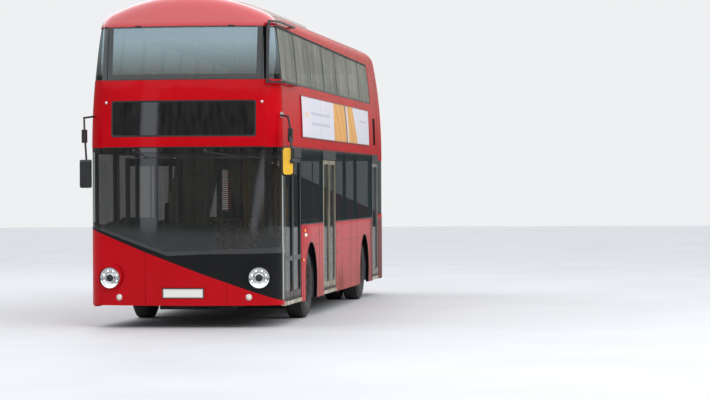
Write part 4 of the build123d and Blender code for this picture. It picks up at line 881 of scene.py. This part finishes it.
def headlamps():
    """Reflector bowls with a bright ring of small lights about a dark middle."""
    bright, rings, dark, lens = Mesh(), Mesh(), Mesh(), Mesh()
    for side in (1, -1):
        place = lamp_place(side, LAMP_X, LAMP_Z, LAMP_TURN, LAMP_DEPTH)
        for i in range(LED_COUNT):
            angle = 2 * pi * (i + 0.5) / LED_COUNT
            spot = place @ Matrix.Translation((LED_CIRCLE * cos(angle), LED_CIRCLE * sin(angle), -0.012))
            bright.spun([(TIP, 0.003), (0.006, 0.0026), (0.0095, 0), (0.0095, -0.003)], spot, 14)
            rings.spun([(0.0102, -0.003), (0.0102, 0.004), (0.0135, 0.003), (0.0135, -0.003)], spot, 18)
        for radius in (0.07, 0.079, 0.113):
            inside, outside = radius - 0.002, radius + 0.002
            rings.spun([(inside, -0.02), (inside, -0.008), (radius, -0.006), (outside, -0.008),
                        (outside, -0.02)], place, 48)
        dark.spun([(TIP, -0.001), (0.02, -0.003), (0.034, -0.008), (0.046, -0.012), (0.054, -0.0035),
                   (0.058, -0.006), (0.058, -0.016)], place, 40)
        for radius in (0.028, 0.041):
            dark.spun([(radius - 0.002, -0.011), (radius, -0.004), (radius + 0.002, -0.011)], place, 36)
        low = lamp_place(side, SIDELIGHT[0], SIDELIGHT[1], radians(10), 0.076)
        lens.spun([(TIP, 0.014), (0.014, 0.012), (0.026, 0.006), (0.03, 0.001), (0.03, -0.004)], low, 30)
    bright.piece("headlamp_leds", LED, slot="lamp", smooth=True)
    rings.piece("headlamp_rings", CHROME, slot="lamp", smooth=True)
    dark.piece("headlamp_middles", SATIN_BLACK, smooth=True)
    frosted = gloss("frosted_lens", srgb(226, 214, 196), 0.15, 0.9)
    lens.piece("sidelight_lenses", frosted, slot="lamp", smooth=True)
    marks = Mesh()
    for side in (1, -1):
        place, normal = on_skin("front", side * MARKER[0], MARKER[1])
        marks.spun([(TIP, 0.012), (0.008, 0.01), (0.013, 0.004), (0.014, -0.002)],
                   facing(place, normal), 20)
    marks.piece("marker_lights", LED, slot="lamp", smooth=True)


def number_plate(name, view, box):
    """A blank plate on its black holder."""
    u0, u1, v0, v1 = box
    holder, plate, edge = Mesh(), Mesh(), Mesh()
    outline = spread(rounded(u0 - 0.012, u1 + 0.012, v0 - 0.01, v1 + 0.01, 0.012), 0.1)
    places = [on_skin(view, u, v)[0] for u, v in outline]
    into = VIEWS[view][2]
    depth = min(p.dot(into) for p in places)
    across, up, _ = VIEWS[view]

    def flat(points, deep):
        return [across * u + up * v + into * deep for u, v in points]

    holder.plate(flat(outline, depth - 0.004), flat(outline, depth + 0.010))
    face = rounded(u0, u1, v0, v1, 0.01)
    plate.plate(flat(face, depth - 0.0065), flat(face, depth - 0.004))
    inner = rounded(u0 + 0.006, u1 - 0.006, v0 + 0.006, v1 - 0.006, 0.008)
    frame_line = rounded(u0 + 0.009, u1 - 0.009, v0 + 0.009, v1 - 0.009, 0.006)
    edge.add(flat(inner + frame_line, depth - 0.007), ring_faces(len(inner)))
    holder.piece(f"{name}_holder", SATIN_BLACK)
    plate.piece(name, PLATE, slot="white_paint")
    edge.piece(f"{name}_line", SATIN_BLACK)


# Each wiper: its pivot's x and z, then its blade's ends and height
WIPERS = [(-0.638, 2.281, -0.747, -0.159, 2.19), (0.297, 2.274, 0.425, 1.01, 2.19)]


def wiper_detail():
    clips = Mesh()
    for pivot_x, pivot_z, x0, x1, height in WIPERS:
        for t in (0.06, 0.28, 0.5, 0.72, 0.94):
            x = x0 + (x1 - x0) * t
            place = on_skin("front", x, height)[0]
            clips.block(place + Vector((-0.016, -0.026, -0.009)),
                        place + Vector((0.016, -0.012, 0.009)), 0.003)
        place, normal = on_skin("front", pivot_x, pivot_z)
        clips.spun([(TIP, 0.03), (0.012, 0.028), (0.022, 0.02), (0.025, 0.01), (0.025, 0)],
                   facing(place, normal), 20)
    clips.piece("wiper_clips", SATIN_BLACK)


front_trim()
headlamps()
number_plate("number_plate", "front", PLATE_SIZE)
number_plate("rear_number_plate", "rear", (-0.26, 0.26, 1.02, 1.131))
wiper_detail()


# Sides: seams, seals, gutters, arch lips, latches and markers

SEAM_HEIGHT = 1.009
ARCH_RADIUS = 0.555
ARCH_CENTRE = 0.499
UPRIGHT_STEP, LEVEL_STEP = 0.06, 0.1
# How far the upper glass's top comes down towards the rear
GLASS_FALL = 0.09
MID_PANEL = (2.345, 3.17)
NEAR_SEAMS = [2.03, 3.6, 6.02, 7.05, 7.79, 9.6]
OFF_SEAMS = [1.2, 3.6, 4.7, 5.9, 7.05, 7.79, 9.6]
LATCHES = [(3.256, 0.84), (5.557, 0.839), (5.557, 1.13), (7.915, 0.811), (3.62, 1.15), (9.55, 0.84)]
MARKERS = [(2.17, 1.215), (2.04, 0.82)]
WHEELS_D = (FRONT + 2.81, REAR - 2.49)


def clear_of_arches(y, z):
    return all(sqrt((y - centre) ** 2 + (max(z, ARCH_CENTRE) - ARCH_CENTRE) ** 2) > ARCH_RADIUS + 0.03
               for centre in WHEELS_D)


def side_lines():
    seams = Mesh()
    near_doors = (FRONT_DOOR, MIDDLE_DOOR, REAR_DOOR)
    for view, seam_list, doors in (("near", NEAR_SEAMS, near_doors), ("off", OFF_SEAMS, ())):
        for d in seam_list:
            y = FRONT + d
            for i in range(17):
                z = SKIRT_BOTTOM + 0.02 + i * UPRIGHT_STEP
                top = z + UPRIGHT_STEP
                if clear_of_arches(y, z) and clear_of_arches(y, top) and top < LOWER_SILL:
                    stroke(seams, view, [(y, z), (y, top)], 0.004)
        y = FRONT + 1.95 if view == "near" else FRONT + 0.5
        while y < REAR - 0.75:
            after = y + LEVEL_STEP
            inside_door = any(a - 0.12 < y < b + 0.02 for a, b in doors)
            if not inside_door and clear_of_arches(y, SEAM_HEIGHT) and clear_of_arches(after, SEAM_HEIGHT):
                stroke(seams, view, [(y, SEAM_HEIGHT), (after, SEAM_HEIGHT)], 0.004)
            y = after
        # A drip line along the foot of the mid panels
        drip = LOWER_GLASS_TOP + 0.012
        stroke(seams, view, [(FRONT + 0.46, drip), (REAR - 0.64, drip)], 0.008)
    # The joints of the front and the rear with the sides
    foot, top = MID_PANEL
    for view, y, z0, z1 in (("near", FRONT_SPLIT, foot, top), ("near", REAR_SPLIT, foot, 3.6),
                            ("off", FRONT_SPLIT, foot, top), ("off", REAR_SPLIT, foot, 3.6),
                            ("off", FRONT_SPLIT, 0.3, 1.29), ("off", REAR_SPLIT, 0.3, 1.6)):
        stroke(seams, view, [(y, z0), (y, z1)], 0.005)
    seams.piece("body_seams", RUBBER_BLACK)


def gutters():
    """The black line over the upper glass, and the pane joints' rubber."""
    rubber = Mesh()
    start, end = FRONT + 0.2, UPPER_GLASS_END - 0.2
    for view in ("near", "off"):
        line = [(start, UPPER_GLASS_TOP - 0.002), (end, UPPER_GLASS_TOP - GLASS_FALL + 0.002)]
        stroke(rubber, view, line, 0.022, 0.008)
        foot = UPPER_SILL + 0.004
        stroke(rubber, view, [(start, foot), (UPPER_GLASS_END - 0.05, foot)], 0.014, 0.004)
        for y in UPPER_JOINTS[:-1]:
            top = UPPER_GLASS_TOP - GLASS_FALL * (y - FRONT) / UPPER_GLASS_LENGTH - 0.02
            stroke(rubber, view, [(y, UPPER_SILL + 0.02), (y, top)], 0.012, 0.002)
        for y0, y1 in ((FRONT + 1.9, FRONT + 4.02), (MIDDLE_DOOR[1] + 0.01, REAR_DOOR[0] - 0.01)):
            stroke(rubber, view, [(y0, LOWER_SILL), (y1, LOWER_SILL)], 0.012, 0.004)
    rubber.piece("window_rubbers", RUBBER_BLACK)


def arch_lips():
    """A thin rolled lip round each wheel arch."""
    lips = Mesh()
    for side in (1, -1):
        for centre in WHEELS_D:
            route = [Vector((side * (HALF - 0.004), centre + u, ARCH_CENTRE + v))
                     for u, v in arc(ARCH_RADIUS - 0.004, -24, 204, 44)]
            lips.tube(route, 0.008, 8)
    lips.piece("arch_lips", RUBBER_BLACK, smooth=True)


def side_fittings():
    latches, ambers, bezels, white = Mesh(), Mesh(), Mesh(), Mesh()
    for view in ("near", "off"):
        for d, z in LATCHES:
            y = FRONT + d + (0.35 if view == "off" else 0)
            oval(latches, view, y, z, 0.035, 0.028, 0.012, 0, 0.003)
        for d, z in MARKERS:
            y = FRONT + d
            if clear_of_arches(y, z):
                oval(bezels, view, y, z, 0.055, 0.026, 0.024, 0, 0.004)
                oval(ambers, view, y, z, 0.047, 0.018, 0.017, 0.004, 0.007)
        # The arch lamp, a small white dome on the skirt over the front arch
        place, normal = on_skin(view, FRONT + 2.24, 1.15)
        white.spun([(TIP, 0.03), (0.012, 0.028), (0.024, 0.018), (0.029, 0.004), (0.029, -0.002)],
                   facing(place, normal), 24)
    latches.piece("flap_latches", SATIN_BLACK)
    bezels.piece("side_marker_bezels", SATIN_BLACK)
    ambers.piece("side_marker_lenses", AMBER, slot="lamp")
    white.piece("arch_lamps", gloss("white_lens", srgb(236, 236, 232), 0.15, 0.9), slot="lamp", smooth=True)


side_lines()
gutters()
arch_lips()
side_fittings()


# Mirrors: a bright yellow back on the nearside, and their glass
# Each mirror's case: side, then x, y from the front and z
CASES = [(1, (1.274, 1.436), (0.11, 0.175), (1.95, 2.325)),
         (-1, (1.179, 1.335), (-0.06, 0.0), (1.808, 2.173))]


def mirror_faces():
    rims, glasses, backs = Mesh(), Mesh(), Mesh()
    for side, xs, ys, zs in CASES:
        x0, x1 = sorted((side * xs[0], side * xs[1]))
        back, face = FRONT + ys[0], FRONT + ys[1]
        target = backs if side > 0 else rims
        outline = rounded(x0 + 0.012, x1 - 0.012, zs[0] + 0.012, zs[1] - 0.012, 0.034)
        count = len(outline)
        inner = rounded(x0 + 0.024, x1 - 0.024, zs[0] + 0.024, zs[1] - 0.024, 0.03)
        outer_row = [Vector((u, back + 0.004, v)) for u, v in outline]
        inner_row = [Vector((u, back - 0.004, v)) for u, v in inner]
        target.add(outer_row + inner_row, ring_faces(count) + [[count + i for i in range(count)]])
        mirror = [Vector((u, face + 0.002, v)) for u, v in inner]
        glasses.plate(mirror, [p - Vector((0, 0.004, 0)) for p in mirror])
    backs.piece("nearside_mirror_back", YELLOW, slot="handrail")
    # The nearside arm comes down in front of the bright back and ends in a ball
    arm = Mesh()
    arm.tube([(1.37, FRONT + 0.2, 2.5), (1.385, FRONT + 0.15, 2.42), (1.4, FRONT + 0.095, 2.35),
              (1.41, FRONT + 0.088, 2.28), (1.41, FRONT + 0.088, 2.14)], 0.013, 12)
    ball = bmesh.new()
    bmesh.ops.create_icosphere(ball, subdivisions=3, radius=0.03)
    arm.merge(ball, Matrix.Translation((1.41, FRONT + 0.09, 2.14)))
    arm.piece("nearside_mirror_arm", SATIN_BLACK, smooth=True)
    root = Mesh()
    root.block((1.185, FRONT + 0.29, 2.705), (1.262, FRONT + 0.35, 2.775), 0.006)
    root.piece("nearside_mirror_root", SILVER, slot="lamp")
    rims.piece("offside_mirror_back", SATIN_BLACK)
    glasses.piece("mirror_glass", metal("mirror_silver", srgb(220, 224, 226), 0.04, 4), slot="dark_glass")


mirror_faces()


# Doors: rubber edges, grab handles and pull rails, each on its own leaf

def door_fittings():
    for name in LEAVES:
        low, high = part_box(name)
        body = name[:-len("_leaf")]
        handle, rubber = Mesh(), Mesh()
        x = low.x - 0.028
        hinge = JOINTS[f"{body}_hinge"].y
        free = max(low.y, high.y, key=lambda edge: abs(edge - hinge))
        inward = -1 if free > hinge else 1
        y = free + inward * 0.1
        for z in (0.95, 1.75):
            handle.tube([(low.x + 0.004, y, z), (x, y, z)], 0.009)
        handle.tube([(x, y, 0.9), (x, y, 1.8)], 0.014, 12)
        handle.piece(f"{body}_handle", RAIL, slot="handrail", smooth=True, body=body)
        top, foot = high.z - 0.035, low.z + 0.035
        y0, y1 = sorted((free, free + inward * 0.004))
        rubber.block((low.x - 0.002, y0, foot), (HALF - 0.003, y1, top), 0.0015)
        y0, y1 = sorted((hinge, free))
        rubber.block((low.x + 0.004, y0 + 0.04, FLOOR_TOP + 0.014),
                     (HALF - 0.003, y1 - 0.04, FLOOR_TOP + 0.045), 0.002)
        rubber.piece(f"{body}_rubbers", RUBBER_BLACK, body=body)


door_fittings()


# Wheels: the nuts on the studs

STUD_CIRCLE = 0.335
STUD_COUNT = 10
# How far outward of the wheel's centre the disc's face is
FRONT_DISC = 0.066
REAR_DISC = -0.139


def wheel_fittings():
    for label, side in (("left", 1), ("right", -1)):
        for end, outward in (("front", FRONT_DISC), ("rear", REAR_DISC)):
            body = f"{end}_{label}_wheel"
            centre = JOINTS[f"{end}_{label}_spin"]
            nuts = Mesh()
            phase = 0 if side > 0 else 0.5
            for i in range(STUD_COUNT):
                angle = 2 * pi * (i + phase) / STUD_COUNT
                across, up = STUD_CIRCLE / 2 * cos(angle), STUD_CIRCLE / 2 * sin(angle)
                place = centre + Vector((side * outward, across, up))
                way = facing(place, (side, 0, 0))
                nuts.spun([(0.0115, 0.001), (0.021, 0.001), (0.021, 0.005), (0.0185, 0.007), (0.0165, 0.022),
                           (0.012, 0.024), (0.0115, 0.001)], way, 6)
            nuts.piece(f"{end}_{label}_nuts", STEEL, slot="rim_paint", body=body)


wheel_fittings()


# Inside: seats, ceiling, stairs and the cab


SEAM_DEPTH, SEAM_REACH = 0.006, 0.14
PAD_EDGE = 0.1


def soft_grid(width, depth, height, crown, pull, seams):
    """A crowned pad: a box whose sides pull in, whose edge thins and whose top has sewn channels."""
    shape = bmesh.new()
    bmesh.ops.create_cube(shape, size=1)
    bmesh.ops.subdivide_edges(shape, edges=shape.edges[:], cuts=9, use_grid_fill=True)
    for vert in shape.verts:
        u, v, w = vert.co * 2
        x = u * width / 2 * (1 - pull * (1 - abs(v) ** 2.5) * 0.2)
        y = v * depth / 2 * (1 - pull * (1 - abs(u) ** 2.5) * 0.2)
        edge = max(abs(u), abs(v))
        z = w * height / 2
        if w > 0:
            z += crown * (1 - abs(u) ** 3) * (1 - abs(v) ** 3) * w
            for seam in seams:
                z -= SEAM_DEPTH * max(0, 1 - abs(u - seam) / SEAM_REACH) * w
        if edge > 1 - PAD_EDGE:
            z *= 1 - 0.45 * ((edge - 1 + PAD_EDGE) / PAD_EDGE) ** 2
        vert.co = Vector((x, y, z))
    bmesh.ops.smooth_vert(shape, verts=shape.verts, factor=0.5, use_axis_x=True, use_axis_y=True,
                          use_axis_z=True)
    return shape


SEAT_DEPTH = 0.43
SEAT_HEIGHT = 0.45
BACK_THICKNESS = 0.08
CUSHION = 0.08
SEWN = (-0.45, 0.45)


def bus_seats(name, node, places):
    """Pads for every bench, with plastic shells and a grab rail on each back."""
    pads, shells, rails = Mesh(), Mesh(), Mesh()
    for low, high in places:
        count = 2 if high.x - low.x > 0.6 else 1
        width = (high.x - low.x) / count
        seat_z = low.z + SEAT_HEIGHT
        for i in range(count):
            middle = low.x + width * (i + 0.5)
            cushion = soft_grid(width - 0.02, SEAT_DEPTH - 0.02, CUSHION - 0.02, 0.012, 0.1, SEWN)
            rest = (middle, low.y + SEAT_DEPTH / 2, seat_z - CUSHION / 2 + 0.004)
            pads.merge(cushion, Matrix.Translation(rest))
            back = soft_grid(width - 0.03, high.z - seat_z - 0.03, 0.05, 0.01, 0.1, SEWN)
            turn = Matrix.Rotation(radians(90), 4, "X")
            behind = low.y + SEAT_DEPTH
            pads.merge(back, Matrix.Translation((middle, behind + 0.03, (high.z + seat_z) / 2)) @ turn)
            left, right = middle - width / 2, middle + width / 2
            shells.block((left + 0.006, behind + 0.052, low.z + 0.38),
                         (right - 0.006, behind + BACK_THICKNESS, high.z - 0.004), 0.012)
            shells.block((left + 0.006, low.y + 0.008, seat_z - CUSHION),
                         (right - 0.006, behind + 0.03, seat_z - CUSHION + 0.028), 0.01)
            top = high.z - 0.006
            low_end, high_end = (behind + 0.062, top - 0.09), (behind + 0.066, top - 0.012)
            rails.tube([(left + 0.05, *low_end), (left + 0.05, *high_end), (right - 0.05, *high_end),
                        (right - 0.05, *low_end)], 0.011, 8)
        centre = (low.x + high.x) / 2
        shells.block((centre - 0.15, low.y + 0.15, low.z),
                     (centre + 0.15, low.y + 0.25, seat_z - CUSHION + 0.004), 0.015)
    pad_piece = pads.piece(f"{name}_pads", FABRIC, slot="seat_fabric", smooth=True)
    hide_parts(node)
    shell_piece = shells.piece(f"{name}_shells", PANEL_GREY, slot="seat_fabric")
    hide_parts(node)
    rails.piece(f"{name}_rails", RAIL, slot="handrail", smooth=True)


RISERS = 10
GOING = 0.25


def stair_nosings():
    """A bright strip along each tread's edge."""
    strips = Mesh()
    rise = (UPPER_FLOOR - FLOOR_TOP) / RISERS
    x0, x1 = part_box("engine_block")[0].x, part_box("engine_block")[1].x
    for i in range(9):
        y = FRONT + 3.45 + GOING * i
        z = FLOOR_TOP + rise * (i + 1)
        strips.block((x0 + 0.02, y, z - 0.001), (x1 - 0.02, y + 0.045, z + 0.003), 0.001)
    for i in range(3):
        z = FLOOR_TOP + rise * (i + 7)
        y = FRONT + 10.5 - GOING * i
        strips.block((x0 + 0.02, y - 0.045, z - 0.001), (x1 - 0.02, y, z + 0.003), 0.001)
    strips.piece("stair_nosings", YELLOW, slot="handrail")


def ceilings():
    """Pale ceiling panels with light strips, over the lower deck."""
    panels, strips = Mesh(), Mesh()
    foot = CEILING - 0.012
    for x, start, end in ((-1.0, 1.0, 3.3), (-0.5, 3.3, 9.6)):
        panels.block((x, FRONT + start, foot), (1.05, FRONT + end, CEILING - 0.001), 0.004)
    for x in (-0.32, 0.5):
        strips.block((x, FRONT + 1.2, CEILING - 0.026), (x + 0.06, FRONT + 9.4, foot), 0.004)
    panels.piece("lower_ceiling", PANEL_GREY, slot="stair_panel")
    strips.piece("lower_ceiling_lights", gloss("ceiling_light", srgb(206, 202, 190), 0.4, 0.1), slot="lamp")


def cab_fittings():
    """The dash's binnacle with plain dials, a switch box and the ticket reader."""
    shell, dials, screens = Mesh(), Mesh(), Mesh()
    top = 1.33
    y = FRONT + 0.59
    shell.block((-0.95, y - 0.06, top - 0.02), (-0.45, y + 0.09, top + 0.09), 0.03)
    for x in (-0.82, -0.7, -0.58):
        place = facing(Vector((x, y + 0.0905, top + 0.035)), (0, 1, 0))
        dials.spun([(TIP, 0.002), (0.034, 0.002), (0.038, 0.004), (0.038, 0)], place, 26)
    shell.block((-0.36, FRONT + 0.6, top - 0.05), (-0.28, FRONT + 0.66, top + 0.28), 0.015)
    screens.block((-0.355, FRONT + 0.66, top + 0.06), (-0.285, FRONT + 0.664, top + 0.22), 0.002)
    shell.block((-1.1, FRONT + 0.47, top), (-0.98, FRONT + 0.62, top + 0.03), 0.01)
    shell.piece("dash_binnacle", PLASTIC, slot="cab_plastic")
    dials.piece("dash_dials", SATIN_BLACK, smooth=True)
    screens.piece("ticket_reader", gloss("reader_face", srgb(30, 60, 90), 0.2), slot="display")


bus_seats("bench", "seats", islands("seats"))
bus_seats("driver", "driver_seat", islands("driver_seat"))
stair_nosings()
ceilings()
cab_fittings()


# Roof and rear


def roof_lines():
    seams = Mesh()
    for d in (2.6, 4.6, 6.6):
        stroke(seams, "top", [(-0.6, FRONT + d), (0.6, FRONT + d)], 0.006, 0.0015)
    for x in (-1.04, 1.04):
        stroke(seams, "top", [(x, FRONT + 1.0), (x, REAR - 1.6)], 0.008, 0.003)
    seams.piece("roof_seams", RUBBER_BLACK)


def rear_fittings():
    lines, bezels = Mesh(), Mesh()
    for low, high in islands("tail_lamps"):
        centre = (low + high) / 2
        place, normal = on_skin("rear", centre.x, centre.z)
        bezels.spun([(0.056, 0.0), (0.056, 0.02), (0.062, 0.022), (0.068, 0.012), (0.068, 0.0)],
                    facing(place, normal), 32)
    bezels.piece("tail_lamp_bezels", CHROME, slot="lamp", smooth=True)
    stroke(lines, "rear", [(-1.0, 0.47), (1.0, 0.47)], 0.012, 0.004)
    for start, end in (((-0.86, 0.985), (0.42, 0.985)), ((-0.86, 0.48), (-0.86, 0.985)),
                       ((0.42, 0.48), (0.42, 0.985))):
        stroke(lines, "rear", [start, end], 0.006, 0.002)
    lines.piece("rear_lines", RUBBER_BLACK)


def louvre_shade_sheet():
    """A dark sheet behind the louvres high on the nearside: painted shade in their openings."""
    sheet = Mesh()
    sheet.block((HALF - 0.1, REAR_SPLIT - 0.64, UPPER_FLOOR + 0.13),
                (HALF - 0.092, REAR_SPLIT - 0.31, UPPER_FLOOR + 0.59))
    sheet.piece("louvre_shade_backing", RUBBER_BLACK)


roof_lines()
rear_fittings()
louvre_shade_sheet()


# Stage: floor, sky and soft lights

FLOOR_HALF = 80.0


def stage_floor():
    mesh = bpy.data.meshes.new("floor")
    corners = [(u * FLOOR_HALF, v * FLOOR_HALF, 0) for u, v in ((-1, -1), (1, -1), (1, 1), (-1, 1))]
    mesh.from_pydata(corners, [], [(0, 1, 2, 3)])
    obj = bpy.data.objects.new("floor", mesh)
    scene.collection.objects.link(obj)
    s = Shader("floor")
    pale = s.blend(s.noise(0.4), 0.3, 0.7, srgb(186, 187, 190), srgb(194, 195, 198))
    s.set(Base_Color=pale, Roughness=0.6)
    mesh.materials.append(s.material)


# What the gloss reflects: a street of dark fronts under a bright sky, as angles in degrees
SKYLINE = 10.0
# Bright gaps in the street: where each starts and ends, and how much it leans
STRIPS = [(-25.5, -19.8, 0.0), (13.4, 15.6, 2.2)]


def sky():
    """Plain pale to the eye, an even soft sky to the paint, and a street to gloss and glass."""
    world = bpy.data.worlds.new("sky")
    scene.world = world
    world.use_nodes = True
    s = Tree(world.node_tree, "Generated")
    x, y, z = s.axes()
    turn = s.times(s.math("ARCTAN2", x, s.times(y, -1.0)), 180 / pi)
    rise = s.times(s.math("ARCSINE", z), 180 / pi)

    def streaked(across, up, place, detail=4, roughness=0.6):
        angles = s.joined(s.times(turn, across), s.times(rise, up), place)
        return s.noise(1.0, detail, roughness, angles)

    streaks = streaked(0.75, 0.18, 0.0)
    storeys = streaked(0.22, 0.6, 3.0, 3, 0.5)
    wall = s.blend(streaks, 0.38, 0.62, (0.02, 0.022, 0.022, 1), (0.30, 0.30, 0.27, 1))
    wall = s.blend(storeys, 0.5, 0.62, wall, (0.46, 0.47, 0.44, 1))
    near_front = s.fall(s.absolute(turn), 45, 80)
    ahead = s.blend(streaks, 0.35, 0.66, (0.05, 0.055, 0.052, 1), (0.36, 0.35, 0.31, 1))
    wall = s.mix(near_front, wall, ahead)
    for start, end, lean in STRIPS:
        across = s.minus(turn, s.times(rise, lean))
        strip = s.both(s.inside(across, start, end, 0.4), s.remap(rise, -1.6, -1.0))
        wall = s.mix(strip, wall, (1.3, 1.36, 1.48, 1))
    # Along the bus's own sides the gloss looks back down the street: dark low, streaked above
    back = s.remap(s.absolute(turn), 150, 160)
    fine = streaked(6.0, 0.3, 7.0)
    high = s.blend(fine, 0.36, 0.64, (0.26, 0.28, 0.25, 1), (0.62, 0.63, 0.58, 1))
    behind = s.blend(rise, 0.7, 1.5, (0.07, 0.095, 0.1, 1), high)
    wall = s.mix(back, wall, behind)
    skyline = s.plus(SKYLINE, s.times(s.noise(0.09, 3, 0.6, s.joined(turn, 0.0, 0.0)), 7.0))
    over = s.minus(rise, skyline)
    street = s.blend(over, -0.3, 0.3, wall, (2.0, 2.08, 2.16, 1))
    street = s.mix(s.fall(rise, -6, -2), street, (0.4, 0.4, 0.41, 1))
    soft = s.blend(rise, -10, 60, (0.55, 0.56, 0.58, 1), (1.2, 1.21, 1.23, 1))
    path = s.add("ShaderNodeLightPath")
    colour = s.mix(path.outputs["Is Glossy Ray"], soft, street)
    colour = s.mix(path.outputs["Is Camera Ray"], colour, (0.86, 0.87, 0.88, 1))
    background = s.tree.nodes["Background"]
    s.link(colour, background.inputs[0])
    background.inputs[1].default_value = 1.0


def area_light(name, place, target, size, power):
    lamp = bpy.data.lights.new(name, "AREA")
    lamp.shape = "RECTANGLE"
    lamp.size, lamp.size_y = size
    lamp.energy = power
    obj = bpy.data.objects.new(name, lamp)
    obj.location = place
    obj.rotation_euler = (Vector(target) - Vector(place)).to_track_quat("-Z", "Y").to_euler()
    obj.visible_glossy = False
    scene.collection.objects.link(obj)


stage_floor()
sky()
area_light("key", (8, -18, 13), (0, -2, 2), (9, 7), 1300)
area_light("side", (19, -3, 12), (1.2, -1, 2), (14, 8), 1500)
area_light("fill", (-14, 6, 12), (0, 0, 2), (10, 10), 900)

# Camera at the photograph's place, fitted on the bus's own lines
CAMERA_PLACE = Vector((6.433, -38.290, 1.793))
CAMERA_TURN = radians(7.324)
CAMERA_PITCH = radians(-0.269)
CAMERA_ROLL = -0.0048
CAMERA_LENS = 131.34


def add_camera():
    level = cos(CAMERA_PITCH)
    forward = Vector((-sin(CAMERA_TURN) * level, cos(CAMERA_TURN) * level, sin(CAMERA_PITCH)))
    side = forward.cross(Vector((0, 0, 1))).normalized()
    up = side.cross(forward)
    right = side * cos(CAMERA_ROLL) + up * sin(CAMERA_ROLL)
    top = up * cos(CAMERA_ROLL) - side * sin(CAMERA_ROLL)
    data = bpy.data.cameras.new("camera")
    data.lens = CAMERA_LENS
    data.sensor_width = 36.0
    data.clip_end = 300
    obj = bpy.data.objects.new("camera", data)
    turn = Matrix((right, top, -forward)).transposed().to_4x4()
    obj.matrix_world = Matrix.Translation(CAMERA_PLACE) @ turn
    scene.collection.objects.link(obj)
    scene.camera = obj


add_camera()
scene.view_settings.view_transform = "Standard"
